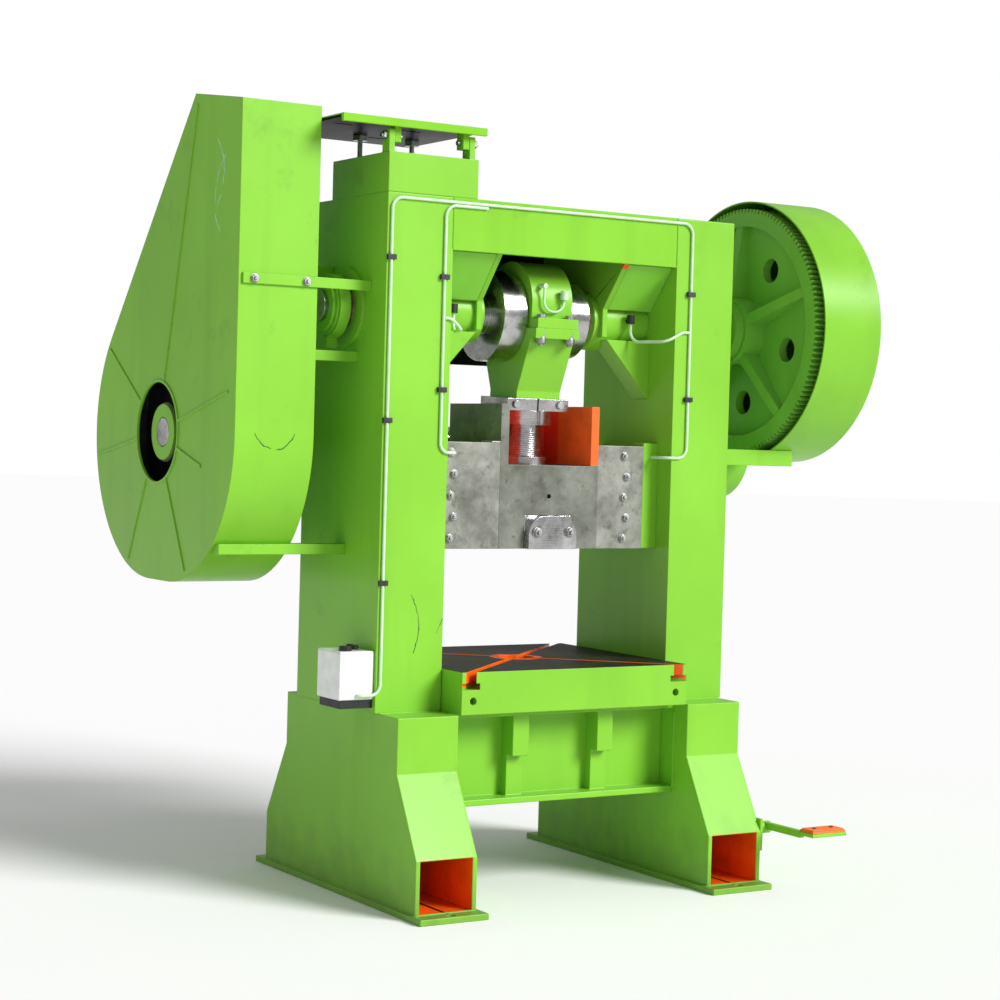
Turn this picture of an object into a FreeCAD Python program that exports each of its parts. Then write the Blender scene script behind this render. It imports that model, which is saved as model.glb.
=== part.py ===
import FreeCAD, Part
import Sketcher
import math
import os
import re

# Mechanical stamping press, in millimetres.
# X runs along the crankshaft to the right, Y to the back, Z up.
# The origin is on the floor, in the middle of the four anchor holes.

Vector = FreeCAD.Vector
document = FreeCAD.newDocument("StampingPress")
sheet = document.addObject("Spreadsheet::Sheet", "Sizes")

SIZES = [
    # feet and legs
    ("base_inner", 425, "base plate, inner edge from the middle"),
    ("base_outer", 665, "base plate, outer edge"),
    ("base_half_depth", 560, "base plate, half depth"),
    ("base_thick", 20, "base plate thickness"),
    ("anchor_half_x", 545, "anchor holes, half spacing across"),
    ("anchor_half_y", 534, "anchor holes, half spacing front to back"),
    ("anchor_radius", 13, "anchor hole radius"),
    ("leg_inner", 439, "leg, inner face"),
    ("leg_outer", 654, "leg, outer face"),
    ("leg_foot_depth", 506, "leg, half depth at the foot"),
    ("leg_head_depth", 373, "leg, half depth at the head"),
    ("leg_foot_height", 182, "height where the flare starts"),
    ("leg_flare_height", 425, "height where the flare ends"),
    ("leg_height", 597, "top of the legs"),
    ("leg_wall", 20, "leg plate thickness"),
    ("leg_door_wall", 16, "plate left beside the leg opening"),
    # columns and crown
    ("column_inner", 432, "column, inner face"),
    ("column_outer", 667, "column, outer face"),
    ("column_front", 250, "column, front face from the crank axis"),
    ("column_back", 280, "column, back face from the crank axis"),
    ("column_wall", 22, "column plate thickness"),
    ("crown_height", 2200, "top of the columns and crown"),
    ("crown_front_bottom", 2036, "lower edge of the crown front plate"),
    ("crown_back_bottom", 1700, "lower edge of the crown back plate"),
    ("window_half", 255, "crank window, half width"),
    ("window_wall", 20, "crank window side plate"),
    ("slant_depth", 118, "how far the slanted panels go back"),
    ("slant_drop", 143, "how far the slanted panels go down"),
    ("slant_thick", 12, "slanted panel thickness"),
    # crankshaft and its bearings
    ("crank_height", 1855, "crank axis above the floor"),
    ("throw", 40, "crank throw, half the stroke"),
    ("rest_angle", 150, "crank angle past top dead centre as modelled"),
    ("journal_radius", 60, "crankshaft journal"),
    ("end_radius", 50, "crankshaft end at the brake"),
    ("gear_seat_radius", 55, "crankshaft at the gear"),
    ("pin_radius", 75, "crankpin"),
    ("core_cover", 5, "least cover of the shaft core by the crankpin"),
    ("pin_half", 85, "crankpin, half length"),
    ("cheek_thick", 87, "crank cheek thickness"),
    ("left_cheek_radius", 150, "left crank cheek"),
    ("right_cheek_radius", 128, "right crank cheek"),
    ("running_gap", 0.05, "radial running clearance of shafts"),
    ("moving_gap", 0.4, "clearance between moving faces"),
    ("bush_wall", 12, "main bush wall"),
    ("housing_wall", 23, "bearing housing wall"),
    ("flange_reach", 30, "bearing housing flange beyond the housing"),
    ("housing_bore", "=journal_radius + bush_wall", "bearing housing, bore radius"),
    ("housing_radius", "=housing_bore + housing_wall", "bearing housing, outside"),
    ("housing_end", 215, "bearing housing, inner end"),
    ("gusset_top", 62, "gusset, its top below the crank axis"),
    ("gusset_deep", 88, "gusset, front to back"),
    ("flange_radius", "=housing_radius + flange_reach", "bearing housing flange"),
    ("flange_thick", 13, "bearing housing flange thickness"),
    ("bush_length", 150, "main bush length"),
    ("brake_radius", 92, "brake drum"),
    ("brake_start", 700, "brake drum, inner face"),
    ("brake_width", 58, "brake drum width"),
    ("crank_left_end", 772, "left end of the crankshaft"),
    # gears and back shaft
    ("gear_module", 6, "gear module"),
    ("gear_teeth", 141, "teeth of the main gear"),
    ("pinion_teeth", 57, "teeth of the pinion"),
    ("gear_start", 890, "main gear, inner face"),
    ("gear_width", 100, "main gear face width"),
    ("gear_hub_start", 800, "main gear hub, inner end"),
    ("gear_hub_radius", 117, "main gear hub"),
    ("web_thick", 34, "main gear web thickness"),
    ("web_hole_radius", 42, "holes in the gear web"),
    ("web_hole_circle", 250, "circle of the web holes"),
    ("web_rib", 36, "ribs on the gear web"),
    ("shaft_drop", 410, "back shaft below the crank axis"),
    ("back_shaft_radius", 45, "back shaft"),
    ("pinion_start", 884, "pinion, inner face"),
    ("pinion_width", 112, "pinion width"),
    ("block_middle", 550, "bearing blocks, middle from the centre line"),
    ("block_width", 100, "bearing block width"),
    ("block_radius", 80, "bearing block round"),
    # flywheel and belt guard
    ("flywheel_radius", 405, "flywheel"),
    ("flywheel_start", 895, "flywheel, inner face"),
    ("flywheel_width", 180, "flywheel rim width"),
    ("flywheel_bore", 70, "flywheel bore"),
    ("hub_radius", 96, "flywheel hub"),
    ("guard_inner", 850, "belt guard, inner face"),
    ("guard_outer", 1115, "belt guard, outer face"),
    ("guard_radius", 475, "belt guard, lower rounds"),
    ("guard_front", 150, "belt guard, front face"),
    ("guard_back", 950, "belt guard, furthest back"),
    ("guard_height", 2450, "belt guard, front of its top"),
    ("guard_rise", 50, "belt guard, rise of its top to the back"),
    ("guard_top_back", 190, "belt guard, back of its top"),
    ("guard_wall", 5, "belt guard sheet"),
    ("guard_hole", 160, "hole in the belt guard"),
    ("upper_bar_z", 1898, "upper front bar of the belt guard, underside"),
    ("rear_bar_y", 95, "upper rear bar, front face"),
    ("rear_bar_z", 1955, "upper rear bar, underside"),
    ("middle_bar_y", 84, "middle bar, to the front"),
    ("middle_bar_z", 1680, "middle bar, underside"),
    ("lower_bar_drop", 369, "lower bar below the back shaft"),
    ("bar_thick", 8, "guard bracket bars"),
    ("bar_height", 32, "guard bracket bars, height"),
    # gear guard
    ("drum_start", 905, "gear guard, open end"),
    ("drum_end", 1150, "gear guard, closed end"),
    ("drum_radius", 456, "gear guard, outside"),
    ("drum_wall", 5, "gear guard sheet"),
    ("pinion_cover", 190, "gear guard round the pinion"),
    # connecting rod
    ("rod_length", 500, "crankpin to ball"),
    ("rod_half", 84, "connecting rod, half width"),
    ("rod_head_depth", 150, "rod head, half depth"),
    ("rod_neck_depth", 82, "rod neck, half depth"),
    ("rod_neck_end", 230, "lower end of the rod below the crankpin"),
    ("rod_flange_depth", 180, "parting flange, half depth"),
    ("rod_flange_thick", 33, "parting flange thickness"),
    ("rod_bush_radius", 92, "crankpin bush, outside"),
    ("cap_half", 78, "rod cap, half width"),
    ("cap_depth", 140, "rod cap, half depth"),
    ("cap_shoulder", 75, "start of the cap round above the pin"),
    ("cap_bolt_x", 55, "cap bolts, half spacing across"),
    ("cap_bolt_y", 164, "cap bolts, half spacing front to back"),
    ("cap_bolt_radius", 9, "cap bolts"),
    ("plate_thick", 40, "clamp plate thickness"),
    ("plate_half", 118, "clamp plate, half width"),
    ("plate_half_depth", 84, "clamp plate, half depth"),
    ("nut_radius", 90, "lock nut"),
    ("nut_thick", 46, "lock nut thickness"),
    ("screw_radius", 59, "adjusting screw"),
    ("screw_top", 110, "top of the screw below the crankpin"),
    ("screw_bottom", 418, "end of the thick part below the crankpin"),
    ("neck_radius", 28, "neck above the ball"),
    ("ball_radius", 45, "ball of the adjusting screw"),
    # slide
    ("slide_half", 190, "slide, half width"),
    ("slide_front", 175, "slide, front face"),
    ("slide_back", 150, "slide, back face"),
    ("slide_bottom", 1100, "slide, bottom face"),
    ("slide_top", 1566, "slide, top of the pocket walls"),
    ("pocket_half", 160, "slide pocket, half width"),
    ("pocket_back", 112, "slide pocket, back wall"),
    ("pocket_floor_rise", 50, "pocket floor above the ball centre"),
    ("wing_reach", 40, "slide wings beyond its sides"),
    ("wing_half_depth", 110, "slide wings, half depth"),
    ("ball_chamber", 68, "chamber round the ball"),
    ("ring_radius", 80, "retaining ring"),
    ("ring_bore", 53, "retaining ring bore"),
    ("ring_thick", 26, "retaining ring thickness"),
    ("seat_gap", 1.2, "ball above its seat"),
    ("seat_round", 120, "hollow of the ball seat"),
    ("seat_height", 34, "ball seat height"),
    ("shank_radius", 25, "die shank bore"),
    ("shank_depth", 85, "die shank bore depth"),
    ("clamp_round", 62, "shank clamp, round of its upper corners"),
    ("clamp_half", 92, "shank clamp, half width"),
    ("clamp_height", 108, "shank clamp height"),
    ("clamp_front", 205, "shank clamp, front face"),
    ("stud_half", 62, "shank clamp studs, half spacing"),
    # gibs
    ("gib_top", 1440, "top of the gibs"),
    ("gib_left_edge", 224, "left gib, edge beside its wedge"),
    ("gib_right_edge", 372, "right gib, outer edge"),
    ("bolt_radius", 8, "gib and bracket bolts"),
    ("bolt_head", 13, "bolt heads, across corners over two"),
    ("bolt_head_thick", 10, "bolt head thickness"),
    # bed and bolster
    ("bolster_half", 430, "bolster, half width"),
    ("bolster_depth", 373, "bolster, half depth"),
    ("bolster_bottom", 597, "bolster, bottom"),
    ("bolster_top", 730, "bolster, top"),
    ("bolster_bore", 60, "hole in the middle of the bolster"),
    ("slot_corner", 398, "where the T-slots leave the front"),
    ("slot_width", 26, "T-slot width"),
    ("slot_foot", 44, "T-slot foot width"),
    ("slot_depth", 56, "T-slot depth"),
    ("slot_foot_height", 20, "T-slot foot height"),
    ("bed_bottom", 298, "bed, bottom"),
    ("bed_depth", 229, "bed walls, outer face"),
    ("bed_flange", 300, "bed flanges, edge"),
    ("bed_wall", 20, "bed plates"),
    ("rib_middle", 162, "bed ribs, middle"),
    ("rib_half", 30, "bed ribs, half width"),
    ("rib_step", 448, "step of the bed ribs"),
    # motor plate
    ("pedestal_inner", 346, "motor pedestal, right side"),
    ("pedestal_back", 120, "motor pedestal, back"),
    ("pedestal_rise", 122, "motor pedestal above the crown"),
    ("hinge_rise", 50, "plate hinge above the pedestal"),
    ("plate_rise", 86, "motor plate above the pedestal"),
    ("pedestal_top", "=crown_height + pedestal_rise", "motor pedestal, top"),
    ("hinge_y", 222, "plate hinge, in front of the crank axis"),
    ("hinge_z", "=pedestal_top + hinge_rise", "plate hinge, above the floor"),
    ("pivot_radius", 8, "hinge pins"),
    ("plate_left", 838, "motor plate, left edge"),
    ("motor_x", 640, "motor slots, middle of the pattern to the left"),
    ("motor_y", 12, "motor slots, middle of the pattern to the front"),
    ("motor_half_x", 120, "motor slots, half spacing across"),
    ("motor_half_y", 108, "motor slots, half spacing front to back"),
    ("tension_left", 590, "left tension screw"),
    ("tension_right", 400, "right tension screw"),
    ("tension_y", 85, "tension screws, to the back"),
    ("plate_right", 330, "motor plate, right edge"),
    ("plate_back", 230, "motor plate, back edge"),
    ("plate_bottom", "=pedestal_top + plate_rise", "motor plate, underside"),
    ("motor_plate_thick", 12, "motor plate thickness"),
    ("lip_height", 24, "lip under the motor plate front"),
    # lubrication
    ("oiler_x", 787, "lubricator, outer face"),
    ("oiler_front", 240, "lubricator, front face"),
    ("oiler_depth", 150, "lubricator, front to back"),
    ("oiler_bottom", 640, "lubricator, underside"),
    ("oiler_height", 150, "lubricator height"),
    ("pipe_radius", 5, "lube pipes"),
    ("pipe_bend", 36, "lube pipe bends where there is room"),
    ("cup_x", 345, "oil cups on the bearings, from the middle"),
    ("cup_loop", 66, "lowest point of the cup loops below the crank axis"),
    ("cup_drop", 34, "fall of a cup pipe from its branch to the loop"),
    ("cup_lead", 24, "straight lead of a cup pipe out of its run"),
    ("cup_reach", 50, "start of the loop, outside the cup"),
    ("twin_run", 150, "stretch where the left pipe runs beside the main one"),
    # pedal
    ("pedal_x", 700, "pedal pivot from the middle"),
    ("pedal_y", 470, "pedal pivot to the front"),
    ("pedal_z", 190, "pedal pivot above the floor"),
    ("pedal_reach", 190, "pedal arm length"),
    ("pad_width", 140, "pedal pad width"),
]

for row, (alias, size, note) in enumerate(SIZES, start=1):
    sheet.set(f"A{row}", note)
    sheet.set(f"B{row}", str(size))
    sheet.setAlias(f"B{row}", alias)
document.recompute()

ALIASES = {alias for alias, _, _ in SIZES}
exported = []
bolts = []
hinge_pins = []

# Heights and places that follow from the sizes, as expressions.
PIN_Y = "(0 - throw * sin(rest_angle))"
PIN_Z = "(crank_height + throw * cos(rest_angle))"
BALL_Z = f"({PIN_Z} - sqrt(rod_length ^ 2 - (throw * sin(rest_angle)) ^ 2))"
FLOOR_Z = f"({BALL_Z} + pocket_floor_rise)"
CENTRES = "(gear_module * (gear_teeth + pinion_teeth) / 2)"
SHAFT_Y = f"sqrt({CENTRES} ^ 2 - shaft_drop ^ 2)"
SHAFT_Z = "(crank_height - shaft_drop)"
GUARD_FRONT = "(0 - guard_front)"


def cells(expression):
    """The expression with each size named as a cell of the sheet."""
    def cell(match):
        word = match.group(0)
        return "Sizes." + word if word in ALIASES else word
    return re.sub(r"[a-z][a-z_]*", cell, str(expression))


def number(expression):
    return float(sheet.evalExpression(cells(expression)))


def bind(thing, field, expression):
    thing.setExpression(field, cells(expression))


def node(thing, label):
    """Name a finished sub-part; its label names its file."""
    thing.Label = label
    exported.append(thing)
    return thing


def place(thing, x, y, z):
    bind(thing, "Placement.Base.x", x)
    bind(thing, "Placement.Base.y", y)
    bind(thing, "Placement.Base.z", z)
    return thing


def block(name, x, y, z):
    """A box from pairs of low and high bounds."""
    box = document.addObject("Part::Box", name)
    bind(box, "Length", f"({x[1]}) - ({x[0]})")
    bind(box, "Width", f"({y[1]}) - ({y[0]})")
    bind(box, "Height", f"({z[1]}) - ({z[0]})")
    return place(box, x[0], y[0], z[0])


AXES = {
    "X": FreeCAD.Rotation(Vector(0, 1, 0), 90),
    "Y": FreeCAD.Rotation(Vector(1, 0, 0), -90),
    "Z": FreeCAD.Rotation(),
}


def cylinder(name, axis, start, radius, length):
    """A cylinder that runs from start along +axis."""
    round_bar = document.addObject("Part::Cylinder", name)
    round_bar.Placement = FreeCAD.Placement(Vector(), AXES[axis])
    bind(round_bar, "Radius", radius)
    bind(round_bar, "Height", length)
    return place(round_bar, *start)


def hexagon(name, axis, start, radius, length):
    prism = document.addObject("Part::Prism", name)
    prism.Polygon = 6
    prism.Placement = FreeCAD.Placement(Vector(), AXES[axis])
    bind(prism, "Circumradius", radius)
    bind(prism, "Height", length)
    return place(prism, *start)


def fuse(name, pieces):
    joined = document.addObject("Part::MultiFuse", name)
    joined.Shapes = list(pieces)
    return joined


def group(name, pieces):
    """Separate solids in one sub-part."""
    compound = document.addObject("Part::Compound", name)
    compound.Links = list(pieces)
    return compound


def cut(name, base, tools):
    tools = list(tools)
    tool = tools[0] if len(tools) == 1 else fuse(name + "Tools", tools)
    result = document.addObject("Part::Cut", name)
    result.Base = base
    result.Tool = tool
    return result


def ring(name, axis, start, outer, inner, length):
    return cut(name, cylinder(name + "Disc", axis, start, outer, length),
               [cylinder(name + "Hole", axis, start, inner, length)])


def mirrored(name, source):
    copy = document.addObject("Part::Mirroring", name)
    copy.Source = source
    copy.Normal = Vector(1, 0, 0)
    return copy


def sketch_on(body, name, role, offset="0"):
    sketch = body.newObject("Sketcher::SketchObject", name)
    origin_plane = next(f for f in body.Origin.OriginFeatures if f.Role == role)
    sketch.AttachmentSupport = [(origin_plane, "")]
    sketch.MapMode = "FlatFace"
    bind(sketch, "AttachmentOffset.Base.z", offset)
    return sketch


def pin_point(sketch, geometry, point, across, up):
    for kind, expression in (("DistanceX", across), ("DistanceY", up)):
        row = sketch.addConstraint(Sketcher.Constraint(kind, geometry, point, number(expression)))
        bind(sketch, f"Constraints[{row}]", expression)


def arc_between(start, finish, radius, middle):
    """An arc that bulges away from middle, and whether it runs from start to finish."""
    half = (finish - start) * 0.5
    outward = Vector(half.y, -half.x, 0).normalize()
    if outward.dot(start + half - middle) < 0:
        outward = -outward
    centre = start + half - outward * math.sqrt(max(radius ** 2 - half.Length ** 2, 0))
    forward = (start - centre).cross(finish - centre).z > 0
    first, last = (start, finish) if forward else (finish, start)
    angles = [math.atan2(end.y - centre.y, end.x - centre.x) for end in (first, last)]
    return Part.ArcOfCircle(Part.Circle(centre, Vector(0, 0, 1), radius), *angles), forward


def outline(sketch, corners):
    """A closed outline through corners; a corner with a third value, a radius,
    is reached by an arc that bulges away from the middle of the outline."""
    places = [Vector(number(corner[0]), number(corner[1]), 0) for corner in corners]
    middle = sum(places, Vector()) * (1 / len(places))
    count = len(corners)
    starts = []
    for index, start in enumerate(places):
        after = (index + 1) % count
        forward = True
        if len(corners[after]) == 3:
            edge, forward = arc_between(start, places[after], number(corners[after][2]), middle)
        else:
            edge = Part.LineSegment(start, places[after])
        sketch.addGeometry(edge, False)
        starts.append(1 if forward else 2)
    for index in range(count):
        after = (index + 1) % count
        sketch.addConstraint(Sketcher.Constraint("Coincident", index, 3 - starts[index],
                                                 after, starts[after]))
    for index, corner in enumerate(corners):
        if len(corners[(index + 1) % count]) == 3:
            radius = corners[(index + 1) % count][2]
            row = sketch.addConstraint(Sketcher.Constraint("Radius", index, number(radius)))
            bind(sketch, f"Constraints[{row}]", radius)
        pin_point(sketch, index, starts[index], corner[0], corner[1])
    return sketch


def circle(sketch, across, up, radius):
    centre = Vector(number(across), number(up), 0)
    index = sketch.addGeometry(Part.Circle(centre, Vector(0, 0, 1), number(radius)), False)
    row = sketch.addConstraint(Sketcher.Constraint("Radius", index, number(radius)))
    bind(sketch, f"Constraints[{row}]", radius)
    pin_point(sketch, index, 3, across, up)
    return sketch


def new_body(name):
    return document.addObject("PartDesign::Body", name)


def pad(body, sketch, length):
    feature = body.newObject("PartDesign::Pad", sketch.Name + "Pad")
    feature.Profile = sketch
    bind(feature, "Length", length)
    sketch.Visibility = False
    return feature


def pocket(body, sketch, length=None):
    """A pocket along the sketch normal, or right through both ways."""
    feature = body.newObject("PartDesign::Pocket", sketch.Name + "Pocket")
    feature.Profile = sketch
    if length is None:
        feature.Midplane = True
        feature.Type = "ThroughAll"
    else:
        feature.Reversed = True
        bind(feature, "Length", length)
    return feature


def turned(name, corners):
    """A solid of revolution about its own X axis: corners are (x, radius)."""
    body = new_body(name)
    sketch = outline(sketch_on(body, name + "Section", "XY_Plane"), corners)
    feature = body.newObject("PartDesign::Revolution", name + "Turn")
    feature.Profile = sketch
    feature.ReferenceAxis = (sketch, ["H_Axis"])
    feature.Angle = 360
    return body


def steps(values, inner="0"):
    """Corners of a stepped shaft from (start, end, radius) stretches."""
    corners = [(values[0][0], inner)]
    for start, end, radius in values:
        corners += [(start, radius), (end, radius)]
    corners.append((values[-1][1], inner))
    return corners


def feet():
    plates = []
    for side, name in ((-1, "Left"), (1, "Right")):
        low = "0 - base_outer" if side < 0 else "base_inner"
        high = "0 - base_inner" if side < 0 else "base_outer"
        plate = block(name + "Plate", (low, high), ("0 - base_half_depth", "base_half_depth"),
                      ("0", "base_thick"))
        holes = [cylinder(f"{name}Anchor{end}", "Z",
                          (f"{side} * anchor_half_x", f"{end} * anchor_half_y", "0"),
                          "anchor_radius", "base_thick") for end in (-1, 1)]
        plates.append(cut(name + "Base", plate, holes))
    node(group("BasePlates", plates), "base_plates")


def leg(name, side):
    body = new_body(name)
    width = "(leg_outer - leg_inner)"
    start = "0 - leg_outer" if side < 0 else "leg_inner"

    def side_profile(offset, base, head):
        return [(f"0 - leg_foot_depth + {offset}", base),
                (f"leg_foot_depth - {offset}", base),
                (f"leg_foot_depth - {offset}", "leg_foot_height"),
                (f"leg_head_depth - {offset}", "leg_flare_height"),
                (f"leg_head_depth - {offset}", head),
                (f"0 - leg_head_depth + {offset}", head),
                (f"0 - leg_head_depth + {offset}", "leg_flare_height"),
                (f"0 - leg_foot_depth + {offset}", "leg_foot_height")]

    shell = sketch_on(body, name + "Side", "YZ_Plane")
    pad(body, outline(shell, side_profile("0", "base_thick", "leg_height")), width)
    inside = sketch_on(body, name + "Inside", "YZ_Plane", "leg_wall")
    pocket(body, outline(inside, side_profile("leg_wall", "base_thick", "leg_height - leg_wall")),
           f"{width} - 2 * leg_wall")
    door = sketch_on(body, name + "Door", "XZ_Plane")
    high = f"{width} - leg_door_wall"
    pocket(body, outline(door, [("leg_door_wall", "base_thick"), (high, "base_thick"),
                                (high, "leg_foot_height"), ("leg_door_wall", "leg_foot_height")]))
    place(body, start, "0", "0")
    node(body, name)


def column(name, side):
    low = "0 - column_outer" if side < 0 else "column_inner"
    high = "0 - column_inner" if side < 0 else "column_outer"
    outside = block(name + "Outside", (low, high), ("0 - column_front", "column_back"),
                    ("leg_height", "crown_height"))
    hollow = block(name + "Hollow", (f"{low} + column_wall", f"{high} - column_wall"),
                   ("0 - column_front + column_wall", "column_back - column_wall"),
                   ("leg_height + column_wall", "crown_height - column_wall"))
    bore = cylinder(name + "Bore", "X", (low, "0", "crank_height"), "housing_radius",
                    "column_outer - column_inner")
    node(cut(name, outside, [hollow, bore]), name)


def crown():
    span = ("0 - column_inner", "column_inner")
    top = "crown_height - column_wall"
    node(fuse("Crown", [
        block("CrownTop", span, ("0 - column_front", "column_back"), (top, "crown_height")),
        block("CrownFront", span, ("0 - column_front", "0 - column_front + column_wall"),
              ("crown_front_bottom", top)),
        block("CrownBack", ("0 - window_half + window_wall", "window_half - window_wall"),
              ("column_back - column_wall", "column_back"), ("crown_back_bottom", top))]),
         "crown")
    front = "(0 - column_front + column_wall)"
    panel_foot = "crown_front_bottom - slant_drop"
    plates = []
    for name, start in (("LeftWindowPlate", "0 - window_half"),
                        ("RightWindowPlate", "window_half - window_wall")):
        body = new_body(name)
        side = sketch_on(body, name + "Side", "YZ_Plane")
        pad(body, outline(side, [(front, top), (front, "crown_front_bottom"),
                                 (f"{front} + slant_depth", panel_foot),
                                 (f"{front} + slant_depth", "crank_height - 55"),
                                 ("column_back", "crank_height - 55"), ("column_back", top)]),
            "window_wall")
        pocket(body, circle(sketch_on(body, name + "Bore", "YZ_Plane"),
                            "0", "crank_height", "housing_radius"))
        plates.append(place(body, start, "0", "0"))
    node(group("WindowPlates", plates), "window_plates")
    panels = []
    for name, start in (("LeftSlantPanel", "0 - column_inner"), ("RightSlantPanel", "window_half")):
        body = new_body(name)
        side = sketch_on(body, name + "Side", "YZ_Plane")
        pad(body, outline(side, [(front, "crown_front_bottom"),
                                 (f"{front} + slant_depth", panel_foot),
                                 (f"{front} + slant_depth + slant_thick", panel_foot),
                                 (f"{front} + slant_thick * 1.3", "crown_front_bottom")]),
            "column_inner - window_half")
        panels.append(place(body, start, "0", "0"))
    node(group("SlantPanels", panels), "slanted_panels")


def bearings():
    length = "(column_outer - housing_end)"
    housing = turned("BearingHousing", [
        ("0", "housing_bore"), ("0", "housing_radius"), (length, "housing_radius"),
        (length, "flange_radius"), (f"{length} + flange_thick", "flange_radius"),
        (f"{length} + flange_thick", "housing_bore")])
    place(housing, "housing_end", "0", "crank_height")
    node(group("BearingHousings", [mirrored("LeftHousing", housing), housing]), "bearing_housings")
    starts = ["housing_end + 4", "column_outer + flange_thick - bush_length - 4"]
    starts += [f"0 - ({start}) - bush_length" for start in starts]
    bushes = [ring(f"MainBush{index}", "X", (start, "0", "crank_height"),
                   "housing_bore", "journal_radius + running_gap", "bush_length")
              for index, start in enumerate(starts)]
    node(group("MainBushes", bushes), "main_bushes")
    body = new_body("Gusset")
    web = sketch_on(body, "GussetWeb", "XZ_Plane")
    top = "crank_height - gusset_top"
    pad(body, outline(web, [("window_half", top), ("column_inner", top),
                            ("column_inner", "crank_height - 255")]), "gusset_deep")
    place(body, "0", "0 - 20", "0")
    gusset = cut("ShapedGusset", body, [cylinder("HousingRound", "X", ("window_half", "0", "crank_height"),
                                                 "housing_radius", "column_inner - window_half")])
    node(group("Gussets", [gusset, mirrored("LeftGusset", gusset)]), "bearing_gussets")


def crankshaft():
    start = "0 - pin_half - cheek_thick"
    body = turned("Crankshaft", steps([
        ("0 - crank_left_end", "0 - brake_start + 8", "end_radius"),
        ("0 - brake_start + 8", start, "journal_radius"),
        (start, "0 - pin_half", "left_cheek_radius"),
        ("0 - pin_half", "pin_half", "pin_radius - throw - core_cover"),
        ("pin_half", "pin_half + cheek_thick", "right_cheek_radius"),
        ("pin_half + cheek_thick", "gear_hub_start", "journal_radius"),
        ("gear_hub_start", "gear_start + gear_width + 10", "gear_seat_radius"),
        ("gear_start + gear_width + 10", "gear_start + gear_width + 58", "end_radius")]))
    pin = sketch_on(body, "Crankpin", "YZ_Plane", "0 - pin_half")
    pad(body, circle(pin, PIN_Y, f"{PIN_Z} - crank_height", "pin_radius"), "2 * pin_half")
    key_way = sketch_on(body, "KeyWay", "XZ_Plane")
    feature = pocket(body, outline(key_way, [
        ("gear_hub_start + 5", "gear_seat_radius - 8"), ("gear_start + gear_width", "gear_seat_radius - 8"),
        ("gear_start + gear_width", "gear_seat_radius + 2"), ("gear_hub_start + 5", "gear_seat_radius + 2")]),
        "16")
    feature.Midplane = True
    feature.Reversed = False
    place(body, "0", "0", "crank_height")
    node(body, "crankshaft")


def involute(angle):
    return math.tan(angle) - angle


def toothed_face(teeth, turn, bore):
    """A toothed ring face in the YZ plane, with one tooth centred at turn."""
    module = number("gear_module")
    pitch = module * teeth / 2
    pressure = math.radians(20)
    base = pitch * math.cos(pressure)
    play = 0.15 / pitch
    flank = []
    for radius in (pitch - 1.25 * module, pitch - 0.4 * module, pitch + 0.35 * module, pitch + module):
        reach = max(radius, base)
        half = math.pi / 2 / teeth + involute(pressure) - involute(math.acos(base / reach)) - play
        flank.append((radius, half))
    points = []
    for tooth in range(teeth):
        middle = turn + 2 * math.pi * tooth / teeth
        for side, run in ((-1, flank), (1, reversed(flank))):
            for radius, half in run:
                angle = middle + side * half
                points.append(Vector(0, radius * math.cos(angle), radius * math.sin(angle)))
    points.append(points[0])
    rim = Part.Wire(Part.makePolygon(points))
    hole = Part.Wire(Part.makeCircle(bore, Vector(), Vector(1, 0, 0)))
    return Part.Face(rim).cut(Part.Face(hole)).Faces[0]


def toothed_ring(name, teeth, turn, bore, width):
    """Gear teeth, which no feature makes, as one extruded face."""
    feature = document.addObject("Part::Feature", name)
    feature.Shape = toothed_face(teeth, turn, bore).extrude(Vector(width, 0, 0))
    return feature


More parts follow.
